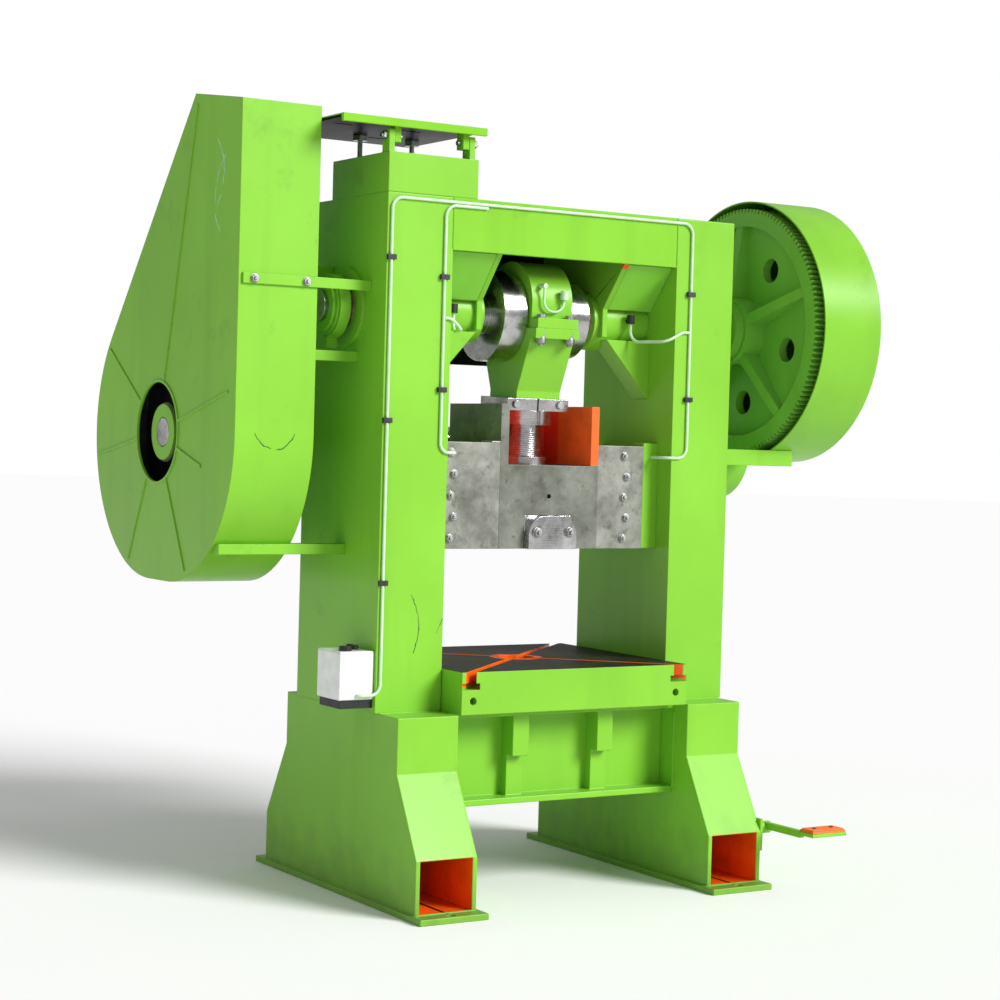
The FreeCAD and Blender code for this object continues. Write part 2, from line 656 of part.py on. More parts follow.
def main_gear():
    teeth = int(number("gear_teeth"))
    to_pinion = math.atan2(-number("shaft_drop"), number(SHAFT_Y))
    rim = "gear_module * gear_teeth / 2 - gear_module * 5"
    teeth_ring = toothed_ring("GearTeeth", teeth, to_pinion, number(f"{rim} - 2"),
                              number("gear_width"))
    place(teeth_ring, "gear_start", "0", "crank_height")
    wheel = turned("GearBlank", [
        ("gear_hub_start", "gear_seat_radius"), ("gear_hub_start", "gear_hub_radius - 14"),
        ("gear_hub_start + 34", "gear_hub_radius - 14"), ("gear_hub_start + 34", "gear_hub_radius"),
        ("gear_start + 26", "gear_hub_radius"), ("gear_start + 26", f"{rim} - 26"),
        ("gear_start", f"{rim} - 26"), ("gear_start", rim), ("gear_start + gear_width", rim),
        ("gear_start + gear_width", f"{rim} - 26"),
        ("gear_start + 26 + web_thick", f"{rim} - 26"),
        ("gear_start + 26 + web_thick", "gear_hub_radius"),
        ("gear_start + gear_width", "gear_hub_radius"),
        ("gear_start + gear_width", "gear_seat_radius")])
    holes = []
    ribs = []
    for index in range(5):
        turn = 160 + 72 * index
        angle = turn + 36
        holes.append(cylinder(f"WebHole{index}", "X",
                              ("gear_start", f"web_hole_circle * cos({angle})",
                               f"web_hole_circle * sin({angle})"), "web_hole_radius", "gear_width"))
        rib = document.addObject("Part::Wedge", f"WebRib{index}")
        for field, expression in (("Xmin", "gear_start - 42"), ("Xmax", "gear_start + 27"),
                                  ("X2min", "gear_start + 4"), ("X2max", "gear_start + 27"),
                                  ("Ymin", "gear_hub_radius - 12"), ("Ymax", f"{rim} - 24"),
                                  ("Zmin", "0 - web_rib / 2"), ("Zmax", "web_rib / 2"),
                                  ("Z2min", "0 - web_rib / 2"), ("Z2max", "web_rib / 2")):
            bind(rib, field, expression)
        rib.Placement = FreeCAD.Placement(Vector(), FreeCAD.Rotation(Vector(1, 0, 0), turn))
        ribs.append(rib)
    blank = cut("GearWithHoles", fuse("GearWithRibs", [wheel] + ribs),
                holes + [block("GearKeyWay", ("gear_hub_start", "gear_start + gear_width"),
                               ("-8", "8"), ("0", "gear_seat_radius + 7"))])
    place(blank, "0", "0", "crank_height")
    node(fuse("MainGear", [blank, teeth_ring]), "main_gear")
    node(block("GearKey", ("gear_hub_start + 5", "gear_start + gear_width"), ("-8", "8"),
               ("crank_height + gear_seat_radius - 8", "crank_height + gear_seat_radius + 7")),
         "gear_key")
    nut_start = "gear_start + gear_width"
    nut = hexagon("GearNutHex", "X", (nut_start, "0", "crank_height"), "86", "44")
    node(cut("GearNut", nut, [cylinder("GearNutHole", "X", (nut_start, "0", "crank_height"),
                                       "gear_seat_radius", "10"),
                              cylinder("GearNutThread", "X", (nut_start, "0", "crank_height"),
                                       "end_radius", "44")]), "gear_nut")


def brake():
    start = "0 - brake_start - brake_width"
    drum = turned("BrakeDrum", [("0", "end_radius"), ("0", "brake_radius - 12"), ("10", "brake_radius - 12"),
                                ("10", "brake_radius"), ("brake_width", "brake_radius"),
                                ("brake_width", "end_radius")])
    node(place(drum, start, "0", "crank_height"), "brake_drum")
    band_start = "0 - brake_start - brake_width + 16"
    width = "brake_width - 22"
    band = cylinder("BandOutside", "X", (band_start, "0", "crank_height"), "brake_radius + 9", width)
    lugs = block("BandLugs", (band_start, f"{band_start} + {width}"), ("-14", "14"),
                 ("crank_height - brake_radius - 40", "crank_height - brake_radius"))
    arm = block("BandArm", (band_start, f"{band_start} + {width}"),
                ("brake_radius", "flange_radius + 25"), ("crank_height - 16", "crank_height + 16"))
    foot = block("BandFoot", (band_start, "0 - column_outer"), ("flange_radius + 9", "flange_radius + 25"),
                 ("crank_height - 16", "crank_height + 16"))
    hollow = cylinder("BandHollow", "X", (band_start, "0", "crank_height"),
                      "brake_radius + moving_gap", width)
    split = block("BandSplit", (band_start, f"{band_start} + {width}"), ("-4", "4"),
                  ("crank_height - brake_radius - 40", "crank_height - brake_radius + 12"))
    band = cut("BrakeBand", fuse("BandBody", [band, lugs, arm, foot]), [hollow, split])
    node(band, "brake_band")


def back_shaft():
    centre = (SHAFT_Y, SHAFT_Z)
    left = "0 - guard_outer + 18"
    length = "guard_outer - 18 + pinion_start + pinion_width + 14"
    node(cylinder("BackShaft", "X", (left,) + centre, "back_shaft_radius", length), "back_shaft")
    teeth = int(number("pinion_teeth"))
    to_gear = math.atan2(number("shaft_drop"), -number(SHAFT_Y))
    pinion = toothed_ring("Pinion", teeth, to_gear + math.pi / teeth,
                          number("back_shaft_radius"), number("pinion_width"))
    node(place(pinion, "pinion_start", SHAFT_Y, SHAFT_Z), "pinion")
    blocks = []
    for index, side in enumerate((-1, 1)):
        start = f"{side} * block_middle - block_width / 2"
        span = (start, f"{start} + block_width")
        foot = block(f"BlockFoot{index}", span, ("column_back", "column_back + 24"),
                     (f"{SHAFT_Z} - 125", f"{SHAFT_Z} + 125"))
        neck = block(f"BlockNeck{index}", span, ("column_back", SHAFT_Y),
                     (f"{SHAFT_Z} - 62", f"{SHAFT_Z} + 62"))
        boss = cylinder(f"BlockBoss{index}", "X", (start,) + centre, "block_radius", "block_width")
        bore = cylinder(f"BlockBore{index}", "X", (start,) + centre,
                        "back_shaft_radius + running_gap", "block_width")
        blocks.append(cut(f"Block{index}", fuse(f"BlockBody{index}", [foot, neck, boss]), [bore]))
    node(group("BearingBlocks", blocks), "shaft_bearing_blocks")
    collars = [ring(f"Collar{index}", "X", (start,) + centre, "back_shaft_radius + 14",
                    "back_shaft_radius", "20")
               for index, start in enumerate(("block_middle + block_width / 2 + 2",
                                              "0 - block_middle - block_width / 2 - 22"))]
    node(group("ShaftCollars", collars), "shaft_collars")
    node(ring("ClutchPlate", "X", ("0 - flywheel_start + 17",) + centre, "190",
              "back_shaft_radius", "14"), "clutch_plate")


def flywheel():
    rim = "flywheel_radius"
    width = "flywheel_width"
    corners = [("0 - 12", "flywheel_bore"), ("0 - 12", "hub_radius"), ("66", "hub_radius"),
               ("66", f"{rim} - 62"), ("0", f"{rim} - 62"), ("0", rim)]
    for groove in range(5):
        first = 18 + groove * 30
        corners += [(f"{first}", rim), (f"{first} + 7", f"{rim} - 17"),
                    (f"{first} + 13", f"{rim} - 17"), (f"{first} + 20", rim)]
    corners += [(width, rim), (width, f"{rim} - 62"), ("100", f"{rim} - 62"), ("100", "hub_radius"),
                (f"{width} + 13", "hub_radius"), (f"{width} + 13", "flywheel_bore")]
    wheel = turned("Flywheel", corners)
    node(place(wheel, "0 - flywheel_start - flywheel_width", SHAFT_Y, SHAFT_Z), "flywheel")
    bearings_pair = [ring(f"FlywheelBearing{index}", "X", (start, SHAFT_Y, SHAFT_Z), "flywheel_bore",
                          "back_shaft_radius + running_gap", "40")
                     for index, start in enumerate(("0 - flywheel_start - flywheel_width",
                                                    "0 - flywheel_start - 40"))]
    node(group("FlywheelBearings", bearings_pair), "flywheel_bearings")
    node(ring("HubCap", "X", ("0 - flywheel_start - flywheel_width - 22", SHAFT_Y, SHAFT_Z),
              "hub_radius - 6", "back_shaft_radius + 3", "10"), "flywheel_hub_cap")


def guard_outline(sketch, inset):
    """Belt guard: two rounds with a flat between them, a straight front and a sloped back."""
    radius = f"(guard_radius - {inset})"
    top = f"guard_height - {inset}"
    crest = f"guard_height + guard_rise - {inset} * 1.2"
    back = f"guard_top_back - {inset} * 1.2"
    back_middle = "guard_back - guard_radius"
    front_middle = f"{GUARD_FRONT} + guard_radius"
    rise = f"({crest} - {SHAFT_Z})"
    run = f"({back} - ({back_middle}))"
    reach = f"sqrt({rise} ^ 2 + {run} ^ 2)"
    lean = f"(atan2({rise}; {run}) - acos({radius} / {reach}))"
    touch = (f"{back_middle} + {radius} * cos({lean})", f"{SHAFT_Z} + {radius} * sin({lean})")
    low = f"{SHAFT_Z} - {radius}"
    front = f"{front_middle} - {radius}"
    return outline(sketch, [(front, top), (back, crest), touch,
                            (f"{back_middle} + {radius}", SHAFT_Z, radius), (back_middle, low, radius),
                            (front_middle, low), (front, SHAFT_Z, radius)])


def belt_guard():
    width = "(guard_outer - guard_inner)"
    body = new_body("BeltGuard")
    pad(body, guard_outline(sketch_on(body, "GuardOutside", "YZ_Plane"), "0"), width)
    inside = sketch_on(body, "GuardInside", "YZ_Plane", "guard_wall")
    pocket(body, guard_outline(inside, "guard_wall"), f"{width} - 2 * guard_wall")
    hole = circle(sketch_on(body, "GuardHole", "YZ_Plane"), SHAFT_Y, SHAFT_Z, "guard_hole")
    pocket(body, hole, "guard_wall + 1")
    shaft_hole = sketch_on(body, "ShaftHole", "YZ_Plane", f"{width} - guard_wall - 1")
    pocket(body, circle(shaft_hole, SHAFT_Y, SHAFT_Z, "guard_hole * 0.8"), "guard_wall + 2")
    place(body, "0 - guard_outer", "0", "0")
    ribs = []
    for index, (turn, reach) in enumerate(((104, 885), (33, 325), (-10, 330), (-63, 305), (241, 325),
                                           (166, 375), (196, 190))):
        rib = document.addObject("Part::Box", f"GuardRib{index}")
        rib.Length = 4
        rib.Height = 9
        bind(rib, "Width", f"{reach}")
        rib.Placement = FreeCAD.Placement(Vector(), FreeCAD.Rotation(Vector(1, 0, 0), turn))
        place(rib, "0 - guard_outer - 4", f"{SHAFT_Y} + (guard_hole + 8) * cos({turn})",
              f"{SHAFT_Z} + (guard_hole + 8) * sin({turn})")
        ribs.append(rib)
    rim = ring("GuardHoleRim", "X", ("0 - guard_outer - 4", SHAFT_Y, SHAFT_Z), "guard_hole + 9",
               "guard_hole", "4")
    node(fuse("RibbedGuard", [body, rim] + ribs), "belt_guard")


def bolt(name, axis, start, length):
    """A hexagon bolt whose head starts at start and whose shank goes on along axis."""
    shift = {"X": 0, "Y": 1, "Z": 2}[axis]
    shank = list(start)
    shank[shift] = f"{start[shift]} + bolt_head_thick"
    return fuse(name, [hexagon(name + "Head", axis, start, "bolt_head", "bolt_head_thick"),
                       cylinder(name + "Shank", axis, tuple(shank), "bolt_radius", length)])


def brackets():
    gap = "0 - column_outer"
    bar_front = f"{GUARD_FRONT} - bar_thick"
    round_middle = f"{GUARD_FRONT} + guard_radius"
    guard_solid = cylinder("GuardRound", "X", ("0 - guard_outer", round_middle, SHAFT_Z), "guard_radius",
                           "guard_outer - guard_inner")
    drum_solid = cylinder("DrumRound", "X", ("drum_start", "0", "crank_height"), "drum_radius",
                          "drum_end - drum_start")
    upper = block("UpperFrontBar", ("0 - guard_outer + 12", gap), (bar_front, GUARD_FRONT),
                  ("upper_bar_z", "upper_bar_z + bar_height"))
    holes = []
    for index, across in enumerate(("0 - guard_outer + 50", "0 - guard_inner - 40")):
        spot = (across, "upper_bar_z + bar_height / 2")
        holes.append(cylinder(f"BarHole{index}", "Y", (spot[0], bar_front, spot[1]),
                              "bolt_radius", "bar_thick"))
        bolts.append(bolt(f"BarBolt{index}", "Y", (spot[0], f"{bar_front} - bolt_head_thick", spot[1]),
                          "bar_thick"))
    bars = [cut("UpperBar", upper, holes),
            block("UpperRearBar", ("0 - guard_inner", gap), ("rear_bar_y", "rear_bar_y + bar_thick"),
                  ("rear_bar_z", "rear_bar_z + bar_height")),
            block("MiddleBar", ("0 - guard_inner", gap),
                  ("0 - middle_bar_y", "0 - middle_bar_y + bar_thick"),
                  ("middle_bar_z", "middle_bar_z + bar_height"))]
    low = cut("LowerBar", block("LowerBarBlank", ("0 - guard_outer + 12", gap), ("0 - 30", "40"),
                                (f"{SHAFT_Z} - lower_bar_drop",
                                 f"{SHAFT_Z} - lower_bar_drop + bar_height")), [guard_solid])
    bars.append(low)
    for index, side in enumerate((-1, 1)):
        strut = block(f"DrumStrut{index}", ("column_outer", "drum_start + 90"),
                      (f"{side} * 170 - 22", f"{side} * 170 + 22"),
                      ("crank_height - drum_radius - 14", "crank_height - drum_radius + 40"))
        bars.append(cut(f"DrumBracket{index}", strut, [drum_solid]))
    node(group("GuardBrackets", bars), "guard_brackets")


def rod_part(thing):
    """Put a piece made about the crankpin in its place on the tilted rod."""
    thing.Placement = FreeCAD.Placement(Vector(), FreeCAD.Rotation(Vector(1, 0, 0), 1))
    bind(thing, "Placement.Rotation.Angle", "asin(throw * sin(rest_angle) / rod_length)")
    return place(thing, "0", PIN_Y, PIN_Z)


def connecting_rod():
    flange = "rod_flange_depth"
    body = new_body("ConnectingRod")
    side = sketch_on(body, "RodSide", "YZ_Plane", "0 - rod_half")
    neck = "0 - rod_neck_end"
    pad(body, outline(side, [
        (flange, "0"), (flange, "0 - rod_flange_thick"), ("rod_head_depth", "0 - rod_flange_thick"),
        ("rod_neck_depth", f"{neck} + 24"), ("rod_neck_depth", neck), ("0 - rod_neck_depth", neck),
        ("0 - rod_neck_depth", f"{neck} + 24"), ("0 - rod_head_depth", "0 - rod_flange_thick"),
        (f"0 - {flange}", "0 - rod_flange_thick"), (f"0 - {flange}", "0")]), "2 * rod_half")
    pocket(body, circle(sketch_on(body, "RodBore", "YZ_Plane"), "0", "0", "rod_bush_radius"))
    thread = sketch_on(body, "RodThread", "XY_Plane", neck)
    pocket(body, circle(thread, "0", "0", "screw_radius"), "rod_neck_end - screw_top")
    bolt_holes(body, "Rod")
    node(rod_part(body), "connecting_rod")

    cap = new_body("RodCap")
    arch = sketch_on(cap, "CapSide", "YZ_Plane", "0 - cap_half")
    top = "cap_shoulder + cap_depth"
    pad(cap, outline(arch, [
        (flange, "0"), (flange, "rod_flange_thick"), ("cap_depth", "rod_flange_thick"),
        ("cap_depth", "cap_shoulder"), ("0", top, "cap_depth"),
        ("0 - cap_depth", "cap_shoulder", "cap_depth"), ("0 - cap_depth", "rod_flange_thick"),
        (f"0 - {flange}", "rod_flange_thick"), (f"0 - {flange}", "0")]), "2 * cap_half")
    pocket(cap, circle(sketch_on(cap, "CapBore", "YZ_Plane"), "0", "0", "rod_bush_radius"))
    bolt_holes(cap, "Cap")
    node(rod_part(cap), "rod_cap")


def bolt_holes(body, name):
    holes = sketch_on(body, name + "BoltHoles", "XY_Plane")
    for across in (-1, 1):
        for along in (-1, 1):
            circle(holes, f"{across} * cap_bolt_x", f"{along} * cap_bolt_y", "cap_bolt_radius")
    pocket(body, holes)


def rod_fittings():
    cap_bolts = []
    for across in (-1, 1):
        for along in (-1, 1):
            name = f"CapBolt{len(cap_bolts)}"
            spot = (f"{across} * cap_bolt_x", f"{along} * cap_bolt_y")
            cap_bolts.append(fuse(name, [
                hexagon(name + "Head", "Z", spot + ("rod_flange_thick",), "15", "12"),
                cylinder(name + "Shank", "Z", spot + ("0 - rod_flange_thick - 24",), "cap_bolt_radius",
                         "2 * rod_flange_thick + 24"),
                hexagon(name + "Nut", "Z", spot + ("0 - rod_flange_thick - 16",), "15", "16")]))
    bush = ring("CrankpinBush", "X", ("0 - rod_half", "0", "0"), "rod_bush_radius",
                "pin_radius + running_gap", "2 * rod_half")
    node(rod_part(bush), "crankpin_bush")
    under = "0 - rod_neck_end - plate_thick"
    plate = block("ClampPlateBlank", ("0 - plate_half", "plate_half"),
                  ("0 - plate_half_depth", "plate_half_depth"), (under, "0 - rod_neck_end"))
    opening = cylinder("ClampPlateBore", "Z", ("0", "0", under), "screw_radius", "plate_thick")
    slit = block("ClampPlateSlit", ("-3", "3"), ("0 - plate_half_depth", "0"), (under, "0 - rod_neck_end"))
    node(rod_part(cut("ClampPlate", plate, [opening, slit])), "clamp_plate")
    screws = [cylinder(f"ClampScrew{index}", "Y", (f"{side} * plate_half * 0.72", "0 - plate_half_depth - 9",
                                                   f"{under} + plate_thick / 2"), "11", "9")
              for index, side in enumerate((-1, 1))]
    node(rod_part(group("RodBolts", cap_bolts + screws)), "rod_bolts")
    nut_bottom = f"{under} - nut_thick"
    nut = cut("LockNut", cylinder("LockNutDisc", "Z", ("0", "0", nut_bottom), "nut_radius", "nut_thick"),
              [cylinder("LockNutThread", "Z", ("0", "0", nut_bottom), "screw_radius", "nut_thick")]
              + [block(f"NutSlot{index}", span_x, span_y, (nut_bottom, under))
                 for index, (span_x, span_y) in enumerate((
                     (("-9", "9"), ("0 - nut_radius", "12 - nut_radius")),
                     (("-9", "9"), ("nut_radius - 12", "nut_radius")),
                     (("0 - nut_radius", "12 - nut_radius"), ("-9", "9")),
                     (("nut_radius - 12", "nut_radius"), ("-9", "9"))))])
    node(rod_part(nut), "lock_nut")
    ball = document.addObject("Part::Sphere", "Ball")
    bind(ball, "Radius", "ball_radius")
    place(ball, "0", "0", "0 - rod_length")
    screw = fuse("BallScrew", [
        cylinder("ScrewBar", "Z", ("0", "0", "0 - screw_bottom"), "screw_radius", "screw_bottom - screw_top"),
        cylinder("ScrewNeck", "Z", ("0", "0", "0 - rod_length"), "neck_radius", "rod_length - screw_bottom"),
        ball])
    node(rod_part(screw), "ball_screw")


def slide():
    walls = ("0 - slide_half", "slide_half")
    body = block("SlideBlock", walls, ("0 - slide_front", "slide_back"), ("slide_bottom", "slide_top"))
    wings = block("SlideWings", ("0 - slide_half - wing_reach", "slide_half + wing_reach"),
                  ("0 - wing_half_depth", "wing_half_depth"), ("slide_bottom + 8", "gib_top - 34"))
    hollow = block("SlidePocket", ("0 - pocket_half", "pocket_half"), ("0 - slide_front", "pocket_back"),
                   (FLOOR_Z, "slide_top"))
    seat_floor = f"({BALL_Z} - ball_radius - seat_gap - 24)"
    chamber = cylinder("BallChamber", "Z", ("0", "0", seat_floor), "ball_chamber",
                       f"{FLOOR_Z} - {seat_floor}")
    shank = cylinder("ShankBore", "Z", ("0", "0", "slide_bottom"), "shank_radius", "shank_depth")
    clamp_top = "slide_bottom + clamp_height + 1"
    notch = block("ClampNotch", ("0 - clamp_half - 1", "clamp_half + 1"), ("0 - slide_front", "0"),
                  ("slide_bottom", clamp_top))
    hole = cylinder("FrontHole", "Y", ("0", "0 - slide_front", "slide_bottom + 170"), "8", "30")
    studs = [cylinder(f"StudHole{index}", "Y", (f"{side} * stud_half", "0", "slide_bottom + 54"),
                      "bolt_radius", "70") for index, side in enumerate((-1, 1))]
    node(cut("Slide", fuse("SlideBody", [body, wings]), [hollow, chamber, shank, notch, hole] + studs),
         "slide")

    seat_top = f"{seat_floor} + seat_height"
    dish = document.addObject("Part::Sphere", "SeatDish")
    bind(dish, "Radius", "seat_round")
    place(dish, "0", "0", f"{BALL_Z} - ball_radius - seat_gap + seat_round")
    seat = cylinder("BallSeatBlank", "Z", ("0", "0", seat_floor), "ball_chamber - 0.3",
                    f"{seat_top} - {seat_floor}")
    node(cut("BallSeat", seat, [dish]), "ball_seat")
    keeper = ring("RetainingRing", "Z", ("0", "0", FLOOR_Z), "ring_radius", "ring_bore", "ring_thick")
    node(keeper, "retaining_ring")

    inner_clamp = block("ShankClampBlank", ("0 - clamp_half", "clamp_half"), ("0 - slide_front", "0 - 1"),
                        ("slide_bottom", "slide_bottom + clamp_height"))
    dome = new_body("ShankClampDome")
    shoulder = "slide_bottom + clamp_height - clamp_round"
    crest = "(clamp_half - clamp_round)"
    pad(dome, outline(sketch_on(dome, "ClampDome", "XZ_Plane"), [
        ("0 - clamp_half", "slide_bottom"), ("clamp_half", "slide_bottom"), ("clamp_half", shoulder),
        (crest, "slide_bottom + clamp_height", "clamp_round"),
        (f"0 - {crest}", "slide_bottom + clamp_height"),
        ("0 - clamp_half", shoulder, "clamp_round")]), "clamp_front - slide_front")
    place(dome, "0", "0 - slide_front", "0")
    clamp = fuse("ShankClampBody", [inner_clamp, dome])
    half_bore = cylinder("ClampBore", "Z", ("0", "0", "slide_bottom"), "shank_radius", "shank_depth")
    clamp_holes = [cylinder(f"ClampHole{index}", "Y",
                            (f"{side} * stud_half", "0 - clamp_front", "slide_bottom + 54"),
                            "bolt_radius", "clamp_front") for index, side in enumerate((-1, 1))]
    node(cut("ShankClamp", clamp, [half_bore] + clamp_holes), "shank_clamp")
    pairs = []
    for index, side in enumerate((-1, 1)):
        spot = f"{side} * stud_half"
        pairs.append(fuse(f"Stud{index}", [
            cylinder(f"StudBar{index}", "Y", (spot, "0 - clamp_front - 26", "slide_bottom + 54"),
                     "bolt_radius", "clamp_front + 26 + 60"),
            hexagon(f"StudNut{index}", "Y", (spot, "0 - clamp_front - 14", "slide_bottom + 54"),
                    "bolt_head + 2", "14")]))
    node(group("ClampStuds", pairs), "clamp_studs")


def gibs():
    front = ("0 - slide_front", "0 - wing_half_depth - moving_gap")
    height = ("slide_bottom", "gib_top")
    deep = "slide_front - wing_half_depth - moving_gap"
    left = ("0 - column_inner", "0 - gib_left_edge")
    right = ("slide_half + moving_gap", "gib_right_edge")
    gib_blanks = {"left": block("LeftGib", left, front, height),
                  "right": block("RightGib", right, front, height)}
    for side, across in (("left", "0 - gib_left_edge - 150"), ("right", "gib_right_edge - 78")):
        holes = []
        for row in range(5):
            spot = (f"{across} + {(row % 2) * 12}", "slide_bottom + 34 + 68 * " + str(row))
            name = f"{side.title()}GibBolt{row}"
            holes.append(cylinder(name + "Hole", "Y", (spot[0], "0 - slide_front", spot[1]),
                                  "bolt_radius", deep))
            bolts.append(bolt(name, "Y", (spot[0], "0 - slide_front - bolt_head_thick", spot[1]), deep))
        node(cut(side.title() + "GibPlate", gib_blanks[side], holes), f"{side}_front_gib")
    node(block("GibWedge", ("0 - gib_left_edge", "0 - slide_half - moving_gap"), front,
               ("slide_bottom", "gib_top + 6")), "gib_wedge")
    node(block("GibBlock", ("gib_right_edge", "column_inner"), front, ("slide_bottom", "gib_top + 12")),
         "gib_block")
    wing = "slide_half + wing_reach + moving_gap"
    back = "wing_half_depth + moving_gap"
    blocks = []
    for name, side in (("Left", -1), ("Right", 1)):
        ends = (wing, "column_inner") if side > 0 else ("0 - column_inner", f"0 - ({wing})")
        rear = ("slide_half + moving_gap", "column_inner") if side > 0 else (
            "0 - column_inner", "0 - slide_half - moving_gap")
        blocks.append(fuse(name + "Guide", [
            block(name + "GuideSide", ends, (f"0 - ({back})", back), height),
            block(name + "GuideRear", rear, (back, f"{back} + 50"), height)]))
    node(group("GuideBlocks", blocks), "guide_blocks")


def bolster():
    blank = block("BolsterBlank", ("0 - bolster_half", "bolster_half"),
                  ("0 - bolster_depth", "bolster_depth"), ("bolster_bottom", "bolster_top"))
    tools = [cylinder("BolsterBore", "Z", ("0", "0", "bolster_bottom"), "bolster_bore",
                      "bolster_top - bolster_bottom")]
    reach = "(2 * sqrt(slot_corner ^ 2 + bolster_depth ^ 2) + 200)"
    turn = "atan2(bolster_depth; slot_corner)"
    for index, sign in enumerate((1, -1)):
        for part, width, low, tall in (("Neck", "slot_width", "slot_depth", "slot_depth"),
                                       ("Foot", "slot_foot", "slot_depth", "slot_foot_height")):
            slot = document.addObject("Part::Box", f"Slot{part}{index}")
            slot.Placement = FreeCAD.Placement(Vector(), FreeCAD.Rotation(Vector(0, 0, 1), 10))
            bind(slot, "Length", reach)
            bind(slot, "Width", width)
            bind(slot, "Height", tall)
            angle = f"({sign} * {turn})"
            bind(slot, "Placement.Rotation.Angle", angle)
            place(slot, f"0 - {reach} / 2 * cos({angle}) + {width} / 2 * sin({angle})",
                  f"0 - {reach} / 2 * sin({angle}) - {width} / 2 * cos({angle})",
                  f"bolster_top - {low}")
            tools.append(slot)
    for index, side in enumerate((-1, 1)):
        tools.append(cylinder(f"LiftHole{index}", "Y",
                              (f"{side} * 388", "0 - bolster_depth", "bolster_bottom + 42"),
                              "12", "60"))
    node(cut("Bolster", blank, tools), "bolster")


def bed():
    span = ("0 - leg_inner", "leg_inner")
    top = "bolster_bottom"
    pieces = []
    for name, low, high in (("Front", "0 - bed_depth", "0 - bed_depth + bed_wall"),
                            ("Back", "bed_depth - bed_wall", "bed_depth")):
        pieces.append(block(f"Bed{name}Wall", span, (low, high), ("bed_bottom", top)))
    edges = ("0 - bed_flange", "bed_flange")
    pieces.append(block("BedTop", span, edges, (f"{top} - bed_wall", top)))
    flange = block("BedFlangeBlank", span, edges, ("bed_bottom", "bed_bottom + bed_wall"))
    drop = block("BedDrop", ("0 - leg_inner + 60", "leg_inner - 60"),
                 ("0 - bed_depth + bed_wall", "bed_depth - bed_wall"),
                 ("bed_bottom", "bed_bottom + bed_wall"))
    pieces.append(cut("BedFlange", flange, [drop]))
    chute = cylinder("BedChute", "Z", ("0", "0", f"{top} - bed_wall"), "bolster_bore", "bed_wall")
    ribs = []
    for name, side in (("Left", -1), ("Right", 1)):
        for face, sign in (("Front", -1), ("Back", 1)):
            spots = []
            for part, reach, low, high in (("Upper", "bed_flange", "rib_step", f"{top} - bed_wall"),
                                           ("Lower", "bed_depth + 34", "bed_bottom + bed_wall", "rib_step")):
                along = (f"{sign} * bed_depth", f"{sign} * ({reach})")
                if sign < 0:
                    along = (along[1], along[0])
                spots.append(block(f"Rib{name}{face}{part}",
                                   (f"{side} * rib_middle - rib_half", f"{side} * rib_middle + rib_half"),
                                   along, (low, high)))
            ribs += spots
    node(cut("Bed", fuse("BedWalls", pieces + ribs), [chute]), "bed")


